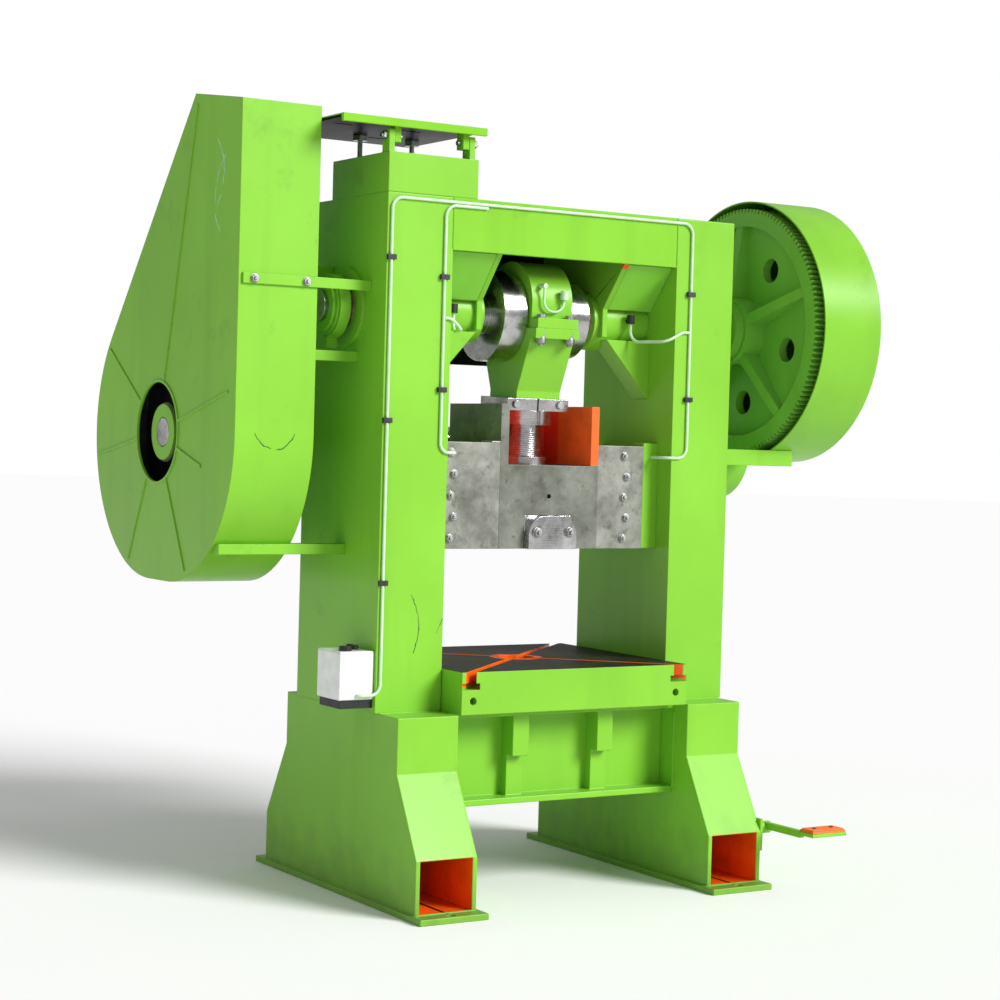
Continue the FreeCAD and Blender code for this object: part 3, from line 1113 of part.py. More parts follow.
def motor_mount():
    shell = block("PedestalOutside", ("0 - column_outer", "0 - pedestal_inner"),
                  ("0 - column_front", "pedestal_back"), ("crown_height", "pedestal_top"))
    hollow = block("PedestalHollow", ("0 - column_outer + 14", "0 - pedestal_inner - 14"),
                   ("0 - column_front + 14", "pedestal_back - 14"), ("crown_height", "pedestal_top - 14"))
    lugs = []
    holes = []
    for index, start in enumerate(("0 - column_outer + 2", "0 - pedestal_inner - 32")):
        lugs.append(block(f"FixedLug{index}", (start, f"{start} + 20"),
                          ("0 - hinge_y - 22", "0 - hinge_y + 22"), ("pedestal_top", "hinge_z + 20")))
        holes.append(cylinder(f"FixedLugHole{index}", "X", (start, "0 - hinge_y", "hinge_z"),
                              "pivot_radius", "20"))
    node(cut("Pedestal", fuse("PedestalBody", [cut("PedestalShell", shell, [hollow])] + lugs), holes),
         "motor_pedestal")

    top = "plate_bottom + motor_plate_thick"
    plate = block("MotorPlateSheet", ("0 - plate_left", "0 - plate_right"),
                  ("0 - hinge_y - 36", "plate_back"), ("plate_bottom", top))
    lip = block("MotorPlateLip", ("0 - plate_left", "0 - plate_right"),
                ("0 - hinge_y - 48", "0 - hinge_y - 36"), (f"{top} - lip_height", top))
    arms = []
    cuts = []
    for index, start in enumerate(("0 - column_outer + 22.5", "0 - pedestal_inner - 54.5")):
        arms.append(block(f"MovingLug{index}", (start, f"{start} + 22"),
                          ("0 - hinge_y - 20", "0 - hinge_y + 20"), ("hinge_z - 20", "plate_bottom")))
        cuts.append(cylinder(f"MovingLugHole{index}", "X", (start, "0 - hinge_y", "hinge_z"),
                             "pivot_radius + running_gap", "22"))
    spots = [(f"0 - motor_x {across} motor_half_x", f"0 - motor_y {along} motor_half_y")
             for across in "-+" for along in "-+"]
    for index, (x, y) in enumerate(spots):
        cuts.append(block(f"MotorSlot{index}", (f"{x} - 28", f"{x} + 28"), (f"{y} - 7", f"{y} + 7"),
                          ("plate_bottom", top)))
        cuts += [cylinder(f"MotorSlotEnd{index}{end}", "Z", (f"{x} {end} 28", y, "plate_bottom"),
                          "7", "motor_plate_thick")
                 for end in "-+"]
    for index, x in enumerate(("0 - tension_left", "0 - tension_right")):
        cuts.append(cylinder(f"TensionHole{index}", "Z", (x, "tension_y", "plate_bottom - 20"), "17", "60"))
    node(cut("MotorPlate", fuse("MotorPlateBody", [plate, lip] + arms), cuts), "motor_plate")

    pins = []
    for index, start in enumerate(("0 - column_outer - 16", "0 - pedestal_inner - 66")):
        pins.append(fuse(f"HingePin{index}", [
            cylinder(f"HingePinBar{index}", "X", (start, "0 - hinge_y", "hinge_z"), "pivot_radius", "72"),
            hexagon(f"HingePinHead{index}", "X",
                    (f"{start} + {6 if index == 0 else 56}", "0 - hinge_y", "hinge_z"), "14",
                    "10" if index == 0 else "11")]))
    hinge_pins.extend(pins)
    screws = []
    for index, x in enumerate(("0 - tension_left", "0 - tension_right")):
        screws.append(fuse(f"TensionScrew{index}", [
            cylinder(f"TensionBar{index}", "Z", (x, "tension_y", "pedestal_top"), "8", "131"),
            hexagon(f"TensionFoot{index}", "Z", (x, "tension_y", "pedestal_top"), "20", "14"),
            hexagon(f"TensionUnder{index}", "Z", (x, "tension_y", "plate_bottom - 16.4"), "26", "16")]))
    node(group("TensionScrews", screws), "tension_screws")


def gear_guard():
    width = "(drum_end - drum_start)"
    body = new_body("GearGuard")
    pad(body, circle(sketch_on(body, "DrumOutside", "YZ_Plane"), "0", "crank_height", "drum_radius"), width)
    pad(body, circle(sketch_on(body, "CoverOutside", "YZ_Plane"), SHAFT_Y, SHAFT_Z, "pinion_cover"), width)
    deep = f"{width} - drum_wall"
    pocket(body, circle(sketch_on(body, "DrumInside", "YZ_Plane"), "0", "crank_height",
                        "drum_radius - drum_wall"), deep)
    pocket(body, circle(sketch_on(body, "CoverInside", "YZ_Plane"), SHAFT_Y, SHAFT_Z,
                        "pinion_cover - drum_wall"), deep)
    place(body, "drum_start", "0", "0")
    node(body, "gear_guard")


def route(name, points, radius, bend):
    """A pipe along straight runs joined by tangent bends, each as large as its runs allow."""
    places = [Vector(*[number(value) for value in point]) for point in points]
    last = len(places) - 2
    room = [(places[index + 1] - places[index]).Length * (0.9 if index in (0, last) else 0.45)
            for index in range(last + 1)]
    edges = []
    start = places[0]
    for index in range(1, last + 1):
        corner = places[index]
        before = (places[index - 1] - corner).normalize()
        after = (places[index + 1] - corner).normalize()
        half = before.getAngle(after) / 2
        setback = min(bend / math.tan(half), room[index - 1], room[index])
        turn = setback * math.tan(half)
        first = corner + before * setback
        second = corner + after * setback
        middle_way = (before + after).normalize()
        centre = corner + middle_way * (turn / math.sin(half))
        edges.append(Part.makeLine(start, first))
        edges.append(Part.Arc(first, centre - middle_way * turn, second).toShape())
        start = second
    edges.append(Part.makeLine(start, places[-1]))
    path = Part.Wire(edges)
    heading = (places[1] - places[0]).normalize()
    ring_wire = Part.Wire(Part.makeCircle(radius, places[0], heading))
    feature = document.addObject("Part::Feature", name)
    feature.Shape = path.makePipeShell([ring_wire], True, False)
    return feature


def lubrication():
    left = "0 - oiler_x"
    back = "0 - oiler_front + oiler_depth"
    box = block("OilerBody", (left, "0 - column_outer"), ("0 - oiler_front", back),
                ("oiler_bottom", "oiler_bottom + oiler_height"))
    node(box, "lubricator_body")
    pan = block("OilerPan", (f"{left} + 8", "0 - column_outer"), ("0 - oiler_front + 8", f"{back} - 8"),
                ("oiler_bottom - 26", "oiler_bottom"))
    top = "oiler_bottom + oiler_height"
    caps = [cylinder(f"OilerCap{index}", "Z", (x, y, top), r, "14") for index, (x, y, r) in enumerate((
        ("0 - 750", "0 - oiler_front + 36", "20"), ("0 - 705", "0 - oiler_front + 60", "11"),
        ("0 - 705", "0 - oiler_front + 92", "11")))]
    node(group("OilerFittings", [pan] + caps), "lubricator_fittings")

    bend = number("pipe_bend")
    radius = number("pipe_radius")
    face = "0 - column_front - pipe_radius"
    edge = "0 - column_outer + 14"
    high = "crown_height - 16"
    right_run = "column_inner + 58"
    left_run = "0 - column_inner - 30"
    cup_y = "0 - housing_radius - 22"
    cup_bottom = "crank_height - 6"
    gib_z = "gib_top - 35"
    start = (f"{left} + 60", "oiler_bottom + 15")
    pipes = [
        route("MainPipe", [(start[0], "0 - oiler_front", start[1]), (start[0], face, start[1]),
                           (edge, face, start[1]), (edge, face, high), (right_run, face, high),
                           (right_run, face, gib_z), ("gib_right_edge + 32", face, gib_z),
                           ("gib_right_edge + 32", "0 - slide_front", gib_z)], radius, bend),
        route("LeftPipe", [(f"{left_run} + twin_run", face, f"{high} - 2 * pipe_radius - 1"),
                           (left_run, face, f"{high} - 2 * pipe_radius - 1"), (left_run, face, gib_z),
                           ("0 - column_inner + 36", face, gib_z),
                           ("0 - column_inner + 36", "0 - slide_front", gib_z)], radius, bend),
        route("OilerHose", [(start[0], back, f"{top} - 30"), (start[0], f"{back} + 62", f"{top} - 30"),
                            (start[0], f"{back} + 62", "oiler_bottom + 25"),
                            (start[0], back, "oiler_bottom + 25")], radius, bend)]
    cups = []
    for name, side, run in (("Left", -1, f"{left_run} + pipe_radius"),
                            ("Right", 1, f"{right_run} - pipe_radius")):
        x = f"{side} * cup_x"
        low = "crank_height - cup_loop"
        pipes.append(route(name + "Branch", [
            (run, face, f"{low} + cup_drop"), (f"{run} - {side} * cup_lead", face, f"{low} + cup_drop"),
            (f"{x} + {side} * cup_reach", face, low), (x, cup_y, low), (x, cup_y, cup_bottom)],
            radius, bend))
        cups.append(fuse(name + "Cup", [
            cylinder(name + "CupStem", "Y", (x, cup_y, "crank_height + 4"), "6", "22.1"),
            cylinder(name + "CupBowl", "Z", (x, cup_y, cup_bottom), "13", "30")]))
    node(group("LubePipes", pipes), "lube_pipes")
    clips = []
    for index, (x, z) in enumerate(((edge, "2000"), (edge, "1500"), (edge, "1000"), (left_run, "1950"),
                                    (left_run, "1600"), (right_run, "1950"), (right_run, "1600"))):
        clip = block(f"ClipBlank{index}", (f"{x} - 15", f"{x} + 15"),
                     ("0 - column_front - 2 * pipe_radius - 2", "0 - column_front"), (f"{z} - 8", f"{z} + 8"))
        gap = block(f"ClipGap{index}", (f"{x} - pipe_radius", f"{x} + pipe_radius"),
                    (face, "0 - column_front"), (f"{z} - 8", f"{z} + 8"))
        bore = cylinder(f"ClipBore{index}", "Z", (x, face, f"{z} - 8"), "pipe_radius", "16")
        clips.append(cut(f"Clip{index}", clip, [gap, bore]))
    node(group("OilFittings", clips + cups), "oil_fittings")

    tube_y = "0 - cap_depth - 14"
    tube = route("RodTubeBend", [("0 - 42", tube_y, "cap_shoulder + 62"),
                                 ("0 - 42", tube_y, "cap_shoulder - 20"),
                                 ("36", tube_y, "cap_shoulder - 20"), ("36", tube_y, "cap_shoulder + 24")],
                 radius - 1, bend)
    ends = [cylinder("TubeTopEnd", "Y", ("0 - 42", f"{tube_y} - 6", "cap_shoulder + 62"), "8", "46"),
            cylinder("TubeCupStem", "Y", ("36", tube_y, "cap_shoulder + 30"), "6", "30"),
            cylinder("TubeCup", "Z", ("36", tube_y, "cap_shoulder + 20"), "13", "30")]
    ends_clear = cut("TubeEnds", fuse("TubeEndBars", ends),
                     [cylinder("CapRound", "X", ("0 - cap_half", "0", "cap_shoulder"),
                               "cap_depth", "2 * cap_half")])
    node(rod_part(fuse("RodTube", [tube, ends_clear])), "rod_oil_tube")


def pedal():
    leg_face = "leg_outer"
    wall = block("PedalBracketWall", (leg_face, f"{leg_face} + 10"), ("0 - pedal_y - 34", "0 - pedal_y + 34"),
                 ("pedal_z - 70", "pedal_z + 34"))
    post = cylinder("PedalBracketPost", "X", (leg_face, "0 - pedal_y", "pedal_z"), "22",
                    "pedal_x - leg_outer - 15.5")
    node(fuse("PedalBracket", [wall, post]), "pedal_bracket")
    pin_start = "pedal_x - 15.5"
    pin = fuse("PedalPin", [cylinder("PedalPinBar", "X", (pin_start, "0 - pedal_y", "pedal_z"), "9", "31.5"),
                            cylinder("PedalPinHead", "X", ("pedal_x + 15.5", "0 - pedal_y", "pedal_z"),
                                     "15", "6")])
    hinge_pins.append(pin)
    hub = cylinder("PedalHub", "X", ("pedal_x - 15", "0 - pedal_y", "pedal_z"), "20", "30")
    arm = block("PedalArmBar", ("pedal_x - 9", "pedal_x + 9"), ("0 - pedal_y - pedal_reach", "0 - pedal_y"),
                ("pedal_z - 4", "pedal_z + 18"))
    shoe = block("PedalShoe", ("pedal_x - 12", "pedal_x + pad_width - 12"),
                 ("0 - pedal_y - pedal_reach - 70", "0 - pedal_y - pedal_reach"),
                 ("pedal_z + 6", "pedal_z + 18"))
    bore = cylinder("PedalBore", "X", ("pedal_x - 15", "0 - pedal_y", "pedal_z"), "9 + running_gap", "30")
    node(cut("PedalArm", fuse("PedalArmBody", [hub, arm, shoe]), [bore]), "pedal_arm")
    node(block("PedalPad", ("pedal_x - 12", "pedal_x + pad_width - 12"),
               ("0 - pedal_y - pedal_reach - 70", "0 - pedal_y - pedal_reach"),
               ("pedal_z + 18", "pedal_z + 30")),
         "pedal_pad")


def build():
    feet()
    leg("left_leg", -1)
    leg("right_leg", 1)
    column("left_column", -1)
    column("right_column", 1)
    crown()
    bearings()
    crankshaft()
    main_gear()
    brake()
    back_shaft()
    flywheel()
    belt_guard()
    brackets()
    connecting_rod()
    rod_fittings()
    slide()
    gibs()
    bolster()
    bed()
    motor_mount()
    gear_guard()
    lubrication()
    pedal()
    node(group("HingePins", hinge_pins), "hinge_pins")
    node(group("FrameBolts", bolts), "frame_bolts")


build()
document.recompute()
for thing in document.Objects:
    if "Invalid" in thing.State or "Error" in thing.State:
        raise RuntimeError(f"{thing.Label} did not build: {thing.State}")
for thing in exported:
    if thing.Shape.isNull() or not thing.Shape.isValid():
        raise RuntimeError(f"{thing.Label} has no valid shape")
os.makedirs("parts", exist_ok=True)
for thing in exported:
    thing.Shape.exportStep(f"parts/{thing.Label}.step")
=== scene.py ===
"""Looks of the mechanical stamping press: finishes, welds, threads, light and camera. Metres."""
import math
import random

import bmesh
import bpy
from mathutils import Matrix, Vector


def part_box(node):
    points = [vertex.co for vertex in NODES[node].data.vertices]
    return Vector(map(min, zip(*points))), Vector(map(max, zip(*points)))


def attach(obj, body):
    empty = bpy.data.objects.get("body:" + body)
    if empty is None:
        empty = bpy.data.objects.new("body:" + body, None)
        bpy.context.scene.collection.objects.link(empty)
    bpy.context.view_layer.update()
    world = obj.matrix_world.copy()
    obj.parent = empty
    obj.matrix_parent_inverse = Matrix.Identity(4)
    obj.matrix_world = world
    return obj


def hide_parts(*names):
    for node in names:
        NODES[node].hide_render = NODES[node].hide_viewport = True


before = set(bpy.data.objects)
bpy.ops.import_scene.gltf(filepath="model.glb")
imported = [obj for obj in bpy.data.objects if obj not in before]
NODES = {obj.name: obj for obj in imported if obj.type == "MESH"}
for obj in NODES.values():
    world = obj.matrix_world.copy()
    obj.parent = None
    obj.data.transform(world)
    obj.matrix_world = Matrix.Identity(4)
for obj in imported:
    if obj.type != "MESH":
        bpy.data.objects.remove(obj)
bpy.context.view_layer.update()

GREEN = (0.225, 0.56, 0.036)
# The slanted panels' green is the machine green made paler: painted light that lifts their downward-facing
# shade.
PANEL_GREEN_PAINTED_LIGHT = (0.23, 0.60, 0.05)
ORANGE = (1.0, 0.13, 0.006)
RED_ORANGE = (0.95, 0.045, 0.004)
SHADOW = (0.006, 0.009, 0.004)

# Places on the CAD that a node's box doesn't give, at rest, in metres.
BALL_CENTRE = Vector((0.0, 0.0, 1.3208))
CRANK_PIN = Vector((0.0, -0.02, 1.82036))
TENSION_X = (-0.590, -0.400)
TENSION_Y = 0.085


# ---------------------------------------------------------------- shader building

class Shader:
    """A material with short calls for the nodes that the finishes share."""

    def __init__(self, name, **sockets):
        self.material = bpy.data.materials.new(name)
        self.material.use_nodes = True
        self.nodes = self.material.node_tree.nodes
        self.links = self.material.node_tree.links
        self.surface = self.nodes["Principled BSDF"]
        for socket, value in sockets.items():
            self.surface.inputs[socket.replace("_", " ")].default_value = value
        self.where = self.nodes.new("ShaderNodeTexCoord").outputs["Object"]
        split = self.nodes.new("ShaderNodeSeparateXYZ")
        self.links.new(self.where, split.inputs[0])
        self.axes = {"X": split.outputs[0], "Y": split.outputs[1], "Z": split.outputs[2]}
        self.rounded = None

    def feed(self, socket, value):
        if isinstance(value, bpy.types.NodeSocket):
            self.links.new(value, socket)
        elif isinstance(value, tuple) and len(value) == 3 and socket.type == "RGBA":
            socket.default_value = (*value, 1.0)
        else:
            socket.default_value = value

    def sum(self, operation, first, second=0.0, third=0.0):
        node = self.nodes.new("ShaderNodeMath")
        node.operation = operation
        for socket, value in zip(node.inputs, (first, second, third)):
            self.feed(socket, value)
        return node.outputs[0]

    def noise(self, scale, detail=3.0, roughness=0.55, stretch=(1, 1, 1), distortion=0.0):
        mapping = self.nodes.new("ShaderNodeMapping")
        self.links.new(self.where, mapping.inputs["Vector"])
        mapping.inputs["Scale"].default_value = stretch
        node = self.nodes.new("ShaderNodeTexNoise")
        self.links.new(mapping.outputs[0], node.inputs["Vector"])
        for socket, value in (("Scale", scale), ("Detail", detail), ("Roughness", roughness),
                              ("Distortion", distortion)):
            node.inputs[socket].default_value = value
        return node.outputs[0]

    def span(self, value, low, high, to_low=0.0, to_high=1.0):
        """value from low..high to to_low..to_high, held at the ends."""
        node = self.nodes.new("ShaderNodeMapRange")
        for socket, number in zip(node.inputs, (value, low, high, to_low, to_high)):
            self.feed(socket, number)
        return node.outputs[0]

    def mix(self, factor, first, second):
        node = self.nodes.new("ShaderNodeMix")
        node.data_type = "RGBA"
        self.feed(node.inputs[0], factor)
        self.feed(node.inputs[6], first)
        self.feed(node.inputs[7], second)
        return node.outputs[2]

    def inside(self, low, high):
        """1 inside the box from low to high in the row frame, 0 outside."""
        mask = 1.0
        for axis, start, end in zip("XYZ", low, high):
            for operation, limit in (("GREATER_THAN", start), ("LESS_THAN", end)):
                mask = self.sum("MULTIPLY", mask, self.sum(operation, self.axes[axis], limit))
        return mask

    def edges(self, radius):
        """1 on the object's edges, falling to 0 at radius."""
        bevel = self.nodes.new("ShaderNodeBevel")
        bevel.samples = 4
        bevel.inputs["Radius"].default_value = radius
        plain = self.nodes.new("ShaderNodeNewGeometry")
        dot = self.nodes.new("ShaderNodeVectorMath")
        dot.operation = "DOT_PRODUCT"
        self.rounded = bevel.outputs[0]
        self.links.new(bevel.outputs[0], dot.inputs[0])
        self.links.new(plain.outputs["Normal"], dot.inputs[1])
        return self.span(dot.outputs["Value"], 0.995, 0.86)

    def bumps(self, *layers):
        """Each layer is (height, strength, distance in metres)."""
        normal = self.rounded
        for height, strength, distance in layers:
            node = self.nodes.new("ShaderNodeBump")
            node.inputs["Strength"].default_value = strength
            node.inputs["Distance"].default_value = distance
            self.links.new(height, node.inputs["Height"])
            if normal is not None:
                self.links.new(normal, node.inputs["Normal"])
            normal = node.outputs[0]
        self.links.new(normal, self.surface.inputs["Normal"])

    def finish(self, colour, roughness, metallic=None):
        self.feed(self.surface.inputs["Base Color"], colour)
        self.feed(self.surface.inputs["Roughness"], roughness)
        if metallic is not None:
            self.feed(self.surface.inputs["Metallic"], metallic)
        return self.material


def shade(colour, factor):
    return tuple(channel * factor for channel in colour)


def enamel(name, colour=GREEN, accents=(), bare=(), scratches=(), rings=(), **sockets):
    """Brushed-on machine enamel. accents are (low, high, colour) boxes, bare are boxes left machined,
    scratches are arcs in an upright plane, rings are painted rings about Z."""
    s = Shader(name, **{"Coat_Weight": 0.05, "Coat_Roughness": 0.2, "Specular_IOR_Level": 0.24, **sockets})
    cloud = s.noise(1.7, 4.0)
    streak = s.noise(7.0, 3.0, stretch=(1, 1, 0.10))
    paint = s.mix(s.span(cloud, 0.35, 0.68), shade(colour, 0.88), colour)
    paint = s.mix(s.span(streak, 0.52, 0.78, 0.0, 0.45), paint, shade(colour, 0.72))
    grime = s.span(s.noise(4.3, 6.0, 0.7), 0.60, 0.80, 0.0, 0.35)
    paint = s.mix(grime, paint, (0.07, 0.12, 0.03))
    ragged = s.sum("ADD", s.axes["Z"], s.span(s.noise(14.0), 0.3, 0.7, -0.05, 0.05))
    low = s.span(ragged, 0.20, 0.0, 0.0, 0.40)
    paint = s.mix(low, paint, (0.10, 0.12, 0.05))
    edge = s.edges(0.004)
    # Edges painted lighter: partly paint worn thin, partly a painted highlight.
    paint = s.mix(s.sum("MULTIPLY", edge, 0.30), paint, shade(colour, 1.25))
    for start, end, tint in accents:
        worn = s.mix(s.span(s.noise(16.0, 5.0), 0.45, 0.80, 0.0, 0.6), tint, shade(tint, 0.5))
        paint = s.mix(s.inside(start, end), paint, worn)
    chips = s.sum("MULTIPLY", edge, s.span(s.noise(55.0, 4.0, 0.7), 0.60, 0.64))
    paint = s.mix(chips, paint, (0.12, 0.11, 0.09))
    for way, (flat, z), radius, start, end, tint in scratches:
        across = s.sum("SUBTRACT", s.axes[way], flat)
        up = s.sum("SUBTRACT", s.axes["Z"], z)
        away = s.sum("SQRT", s.sum("ADD", s.sum("MULTIPLY", across, across), s.sum("MULTIPLY", up, up)))
        away = s.sum("ADD", away, s.span(s.noise(30.0), 0.3, 0.7, -0.004, 0.004))
        line = s.span(s.sum("ABSOLUTE", s.sum("SUBTRACT", away, radius)), 0.0010, 0.0026, 0.85, 0.0)
        line = s.sum("MULTIPLY", line, s.span(s.noise(22.0), 0.42, 0.52))
        paint = s.mix(s.sum("MULTIPLY", line, s.inside(start, end)), paint, tint)
    rough = s.span(cloud, 0.3, 0.7, 0.27, 0.42)
    metal = None
    if bare:
        mask = 0.0
        for start, end in bare:
            mask = s.sum("MAXIMUM", mask, s.inside(start, end))
        stain = s.noise(11.0, 6.0, 0.65)
        steel = s.mix(s.span(stain, 0.35, 0.7), (0.012, 0.011, 0.006), (0.050, 0.045, 0.028))
        paint = s.mix(mask, paint, steel)
        metal = s.sum("MULTIPLY", mask, 0.25)
        rough = s.sum("MAXIMUM", rough, s.sum("MULTIPLY", mask, 0.62))
    for inner_radius, outer_radius, height, tint in rings:
        away = s.sum("SQRT", s.sum("ADD", s.sum("MULTIPLY", s.axes["X"], s.axes["X"]),
                                   s.sum("MULTIPLY", s.axes["Y"], s.axes["Y"])))
        band = s.sum("MULTIPLY", s.sum("GREATER_THAN", away, inner_radius),
                     s.sum("LESS_THAN", away, outer_radius))
        band = s.sum("MULTIPLY", band, s.sum("GREATER_THAN", s.axes["Z"], height))
        patchy = s.sum("MULTIPLY", band, s.span(s.noise(24.0, 4.0), 0.35, 0.5, 0.35, 1.0))
        paint = s.mix(patchy, paint, tint)
        metal = s.sum("MULTIPLY", metal, s.sum("SUBTRACT", 1.0, patchy))
    s.bumps((s.noise(3.2, 2.0), 0.25, 0.004), (s.noise(260.0, 2.0), 0.10, 0.0006))
    return s.finish(paint, rough, metal)


def machined(name, colour, rust=0.25, roughness=(0.28, 0.5), grain=(1, 1, 1), marks=420.0, metallic=1.0,
             accents=(), **sockets):
    """Machined steel: tool marks along one way, oil stains and a little rust."""
    s = Shader(name, **{"Anisotropic": 0.4, **sockets})
    stain = s.noise(9.0, 7.0, 0.68)
    tone = s.mix(s.span(stain, 0.33, 0.70), shade(colour, 0.42), colour)
    tone = s.mix(s.span(s.noise(38.0, 4.0), 0.58, 0.72, 0.0, 0.6), tone, shade(colour, 0.25))
    brown = s.span(s.noise(6.0, 8.0, 0.75), 0.60, 0.74, 0.0, rust)
    tone = s.mix(brown, tone, (0.16, 0.075, 0.03))
    edge = s.edges(0.003)
    # Edges painted lighter: partly rubbed bright, partly a painted highlight.
    tone = s.mix(s.sum("MULTIPLY", edge, 0.6), tone, shade(colour, 1.5))
    lines = s.noise(marks, 2.0, stretch=grain)
    rough = s.span(s.sum("ADD", s.sum("MULTIPLY", lines, 0.4), s.sum("MULTIPLY", stain, 0.6)),
                   0.35, 0.65, *roughness)
    s.bumps((lines, 0.35, 0.0004), (stain, 0.15, 0.0008))
    metal = s.span(brown, 0.0, 0.5, metallic, 0.3 * metallic)
    for start, end, tint in accents:
        painted = s.inside(start, end)
        worn = s.mix(s.span(s.noise(16.0, 5.0), 0.45, 0.80, 0.0, 0.6), tint, shade(tint, 0.5))
        tone = s.mix(painted, tone, worn)
        metal = s.sum("MULTIPLY", metal, s.sum("SUBTRACT", 1.0, painted))
    return s.finish(tone, rough, metal)


def plain_finish(name, colour, roughness, metallic=0.0, grain=90.0, depth=0.0005, **sockets):
    """Plastic, rubber or plated small parts: light mottling and a fine grain."""
    s = Shader(name, Metallic=metallic, **sockets)
    mottle = s.noise(grain * 0.3, 4.0)
    tone = s.mix(s.span(mottle, 0.35, 0.7), shade(colour, 0.86), colour)
    # Painted highlight: a lighter tint mixed in along the edges.
    edge_highlight = tuple(min(1.0, channel * 1.3 + 0.02) for channel in colour)
    tone = s.mix(s.sum("MULTIPLY", s.edges(0.0015), 0.4), tone, edge_highlight)
    s.bumps((s.noise(grain * 3.0), 0.25, depth))
    return s.finish(tone, s.span(mottle, 0.3, 0.7, roughness * 0.85, min(1.0, roughness * 1.2)))


# ---------------------------------------------------------------- camera and light

def camera():
    """The photograph's angle: from the front left, a little above the middle of the press."""
    yaw, pitch, roll = math.radians(32.0), math.radians(1.58), math.radians(1.6)
    ahead = Vector((math.sin(yaw) * math.cos(pitch), math.cos(yaw) * math.cos(pitch), -math.sin(pitch)))
    level = Vector((math.cos(yaw), -math.sin(yaw), 0.0))
    lift = level.cross(ahead)
    right = level * math.cos(roll) + lift * math.sin(roll)
    up = lift * math.cos(roll) - level * math.sin(roll)
    data = bpy.data.cameras.new("PressCamera")
    data.lens = 79.95
    data.sensor_width = 36.0
    data.clip_end = 200.0
    seat = bpy.data.objects.new("PressCamera", data)
    turn = Matrix((right, up, -ahead)).transposed().to_4x4()
    seat.matrix_world = Matrix.Translation((-3.9612, -6.2141, 1.4531)) @ turn
    bpy.context.scene.collection.objects.link(seat)
    bpy.context.scene.camera = seat


def studio():
    """White floor, one large soft key from the front right, and even fill from all round."""
    scene = bpy.context.scene
    scene.view_settings.view_transform = "Standard"
    world = bpy.data.worlds.new("Studio")
    world.use_nodes = True
    scene.world = world
    nodes, links = world.node_tree.nodes, world.node_tree.links
    fill = nodes["Background"]
    fill.inputs[0].default_value = (1.0, 1.0, 1.0, 1.0)
    fill.inputs[1].default_value = 0.40
    backdrop = nodes.new("ShaderNodeBackground")
    backdrop.inputs[0].default_value = (1.0, 1.0, 1.0, 1.0)
    backdrop.inputs[1].default_value = 1.0
    path = nodes.new("ShaderNodeLightPath")
    choose = nodes.new("ShaderNodeMixShader")
    links.new(path.outputs["Is Camera Ray"], choose.inputs[0])
    links.new(fill.outputs[0], choose.inputs[1])
    links.new(backdrop.outputs[0], choose.inputs[2])
    links.new(choose.outputs[0], nodes["World Output"].inputs[0])
    sun = bpy.data.lights.new("Key", "SUN")
    sun.energy = 3.75
    sun.angle = math.radians(25.0)
    key = bpy.data.objects.new("Key", sun)
    key.rotation_euler = Vector((-0.45, 0.75, -0.50)).to_track_quat("-Z", "Y").to_euler()
    scene.collection.objects.link(key)

    mesh = bpy.data.meshes.new("Floor")
    form = bmesh.new()
    bmesh.ops.create_circle(form, cap_ends=True, radius=60.0, segments=64)
    form.to_mesh(mesh)
    form.free()
    floor = bpy.data.objects.new("Floor", mesh)
    pale = Shader("FloorPaint", Specular_IOR_Level=0.0)
    mesh.materials.append(pale.finish((0.98, 0.98, 0.98), 0.9))
    scene.collection.objects.link(floor)


# ---------------------------------------------------------------- finishes on the CAD nodes

def box_of(name, grow=0.0):
    low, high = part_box(name)
    edge = Vector((grow, grow, grow))
    return tuple(low - edge), tuple(high + edge)


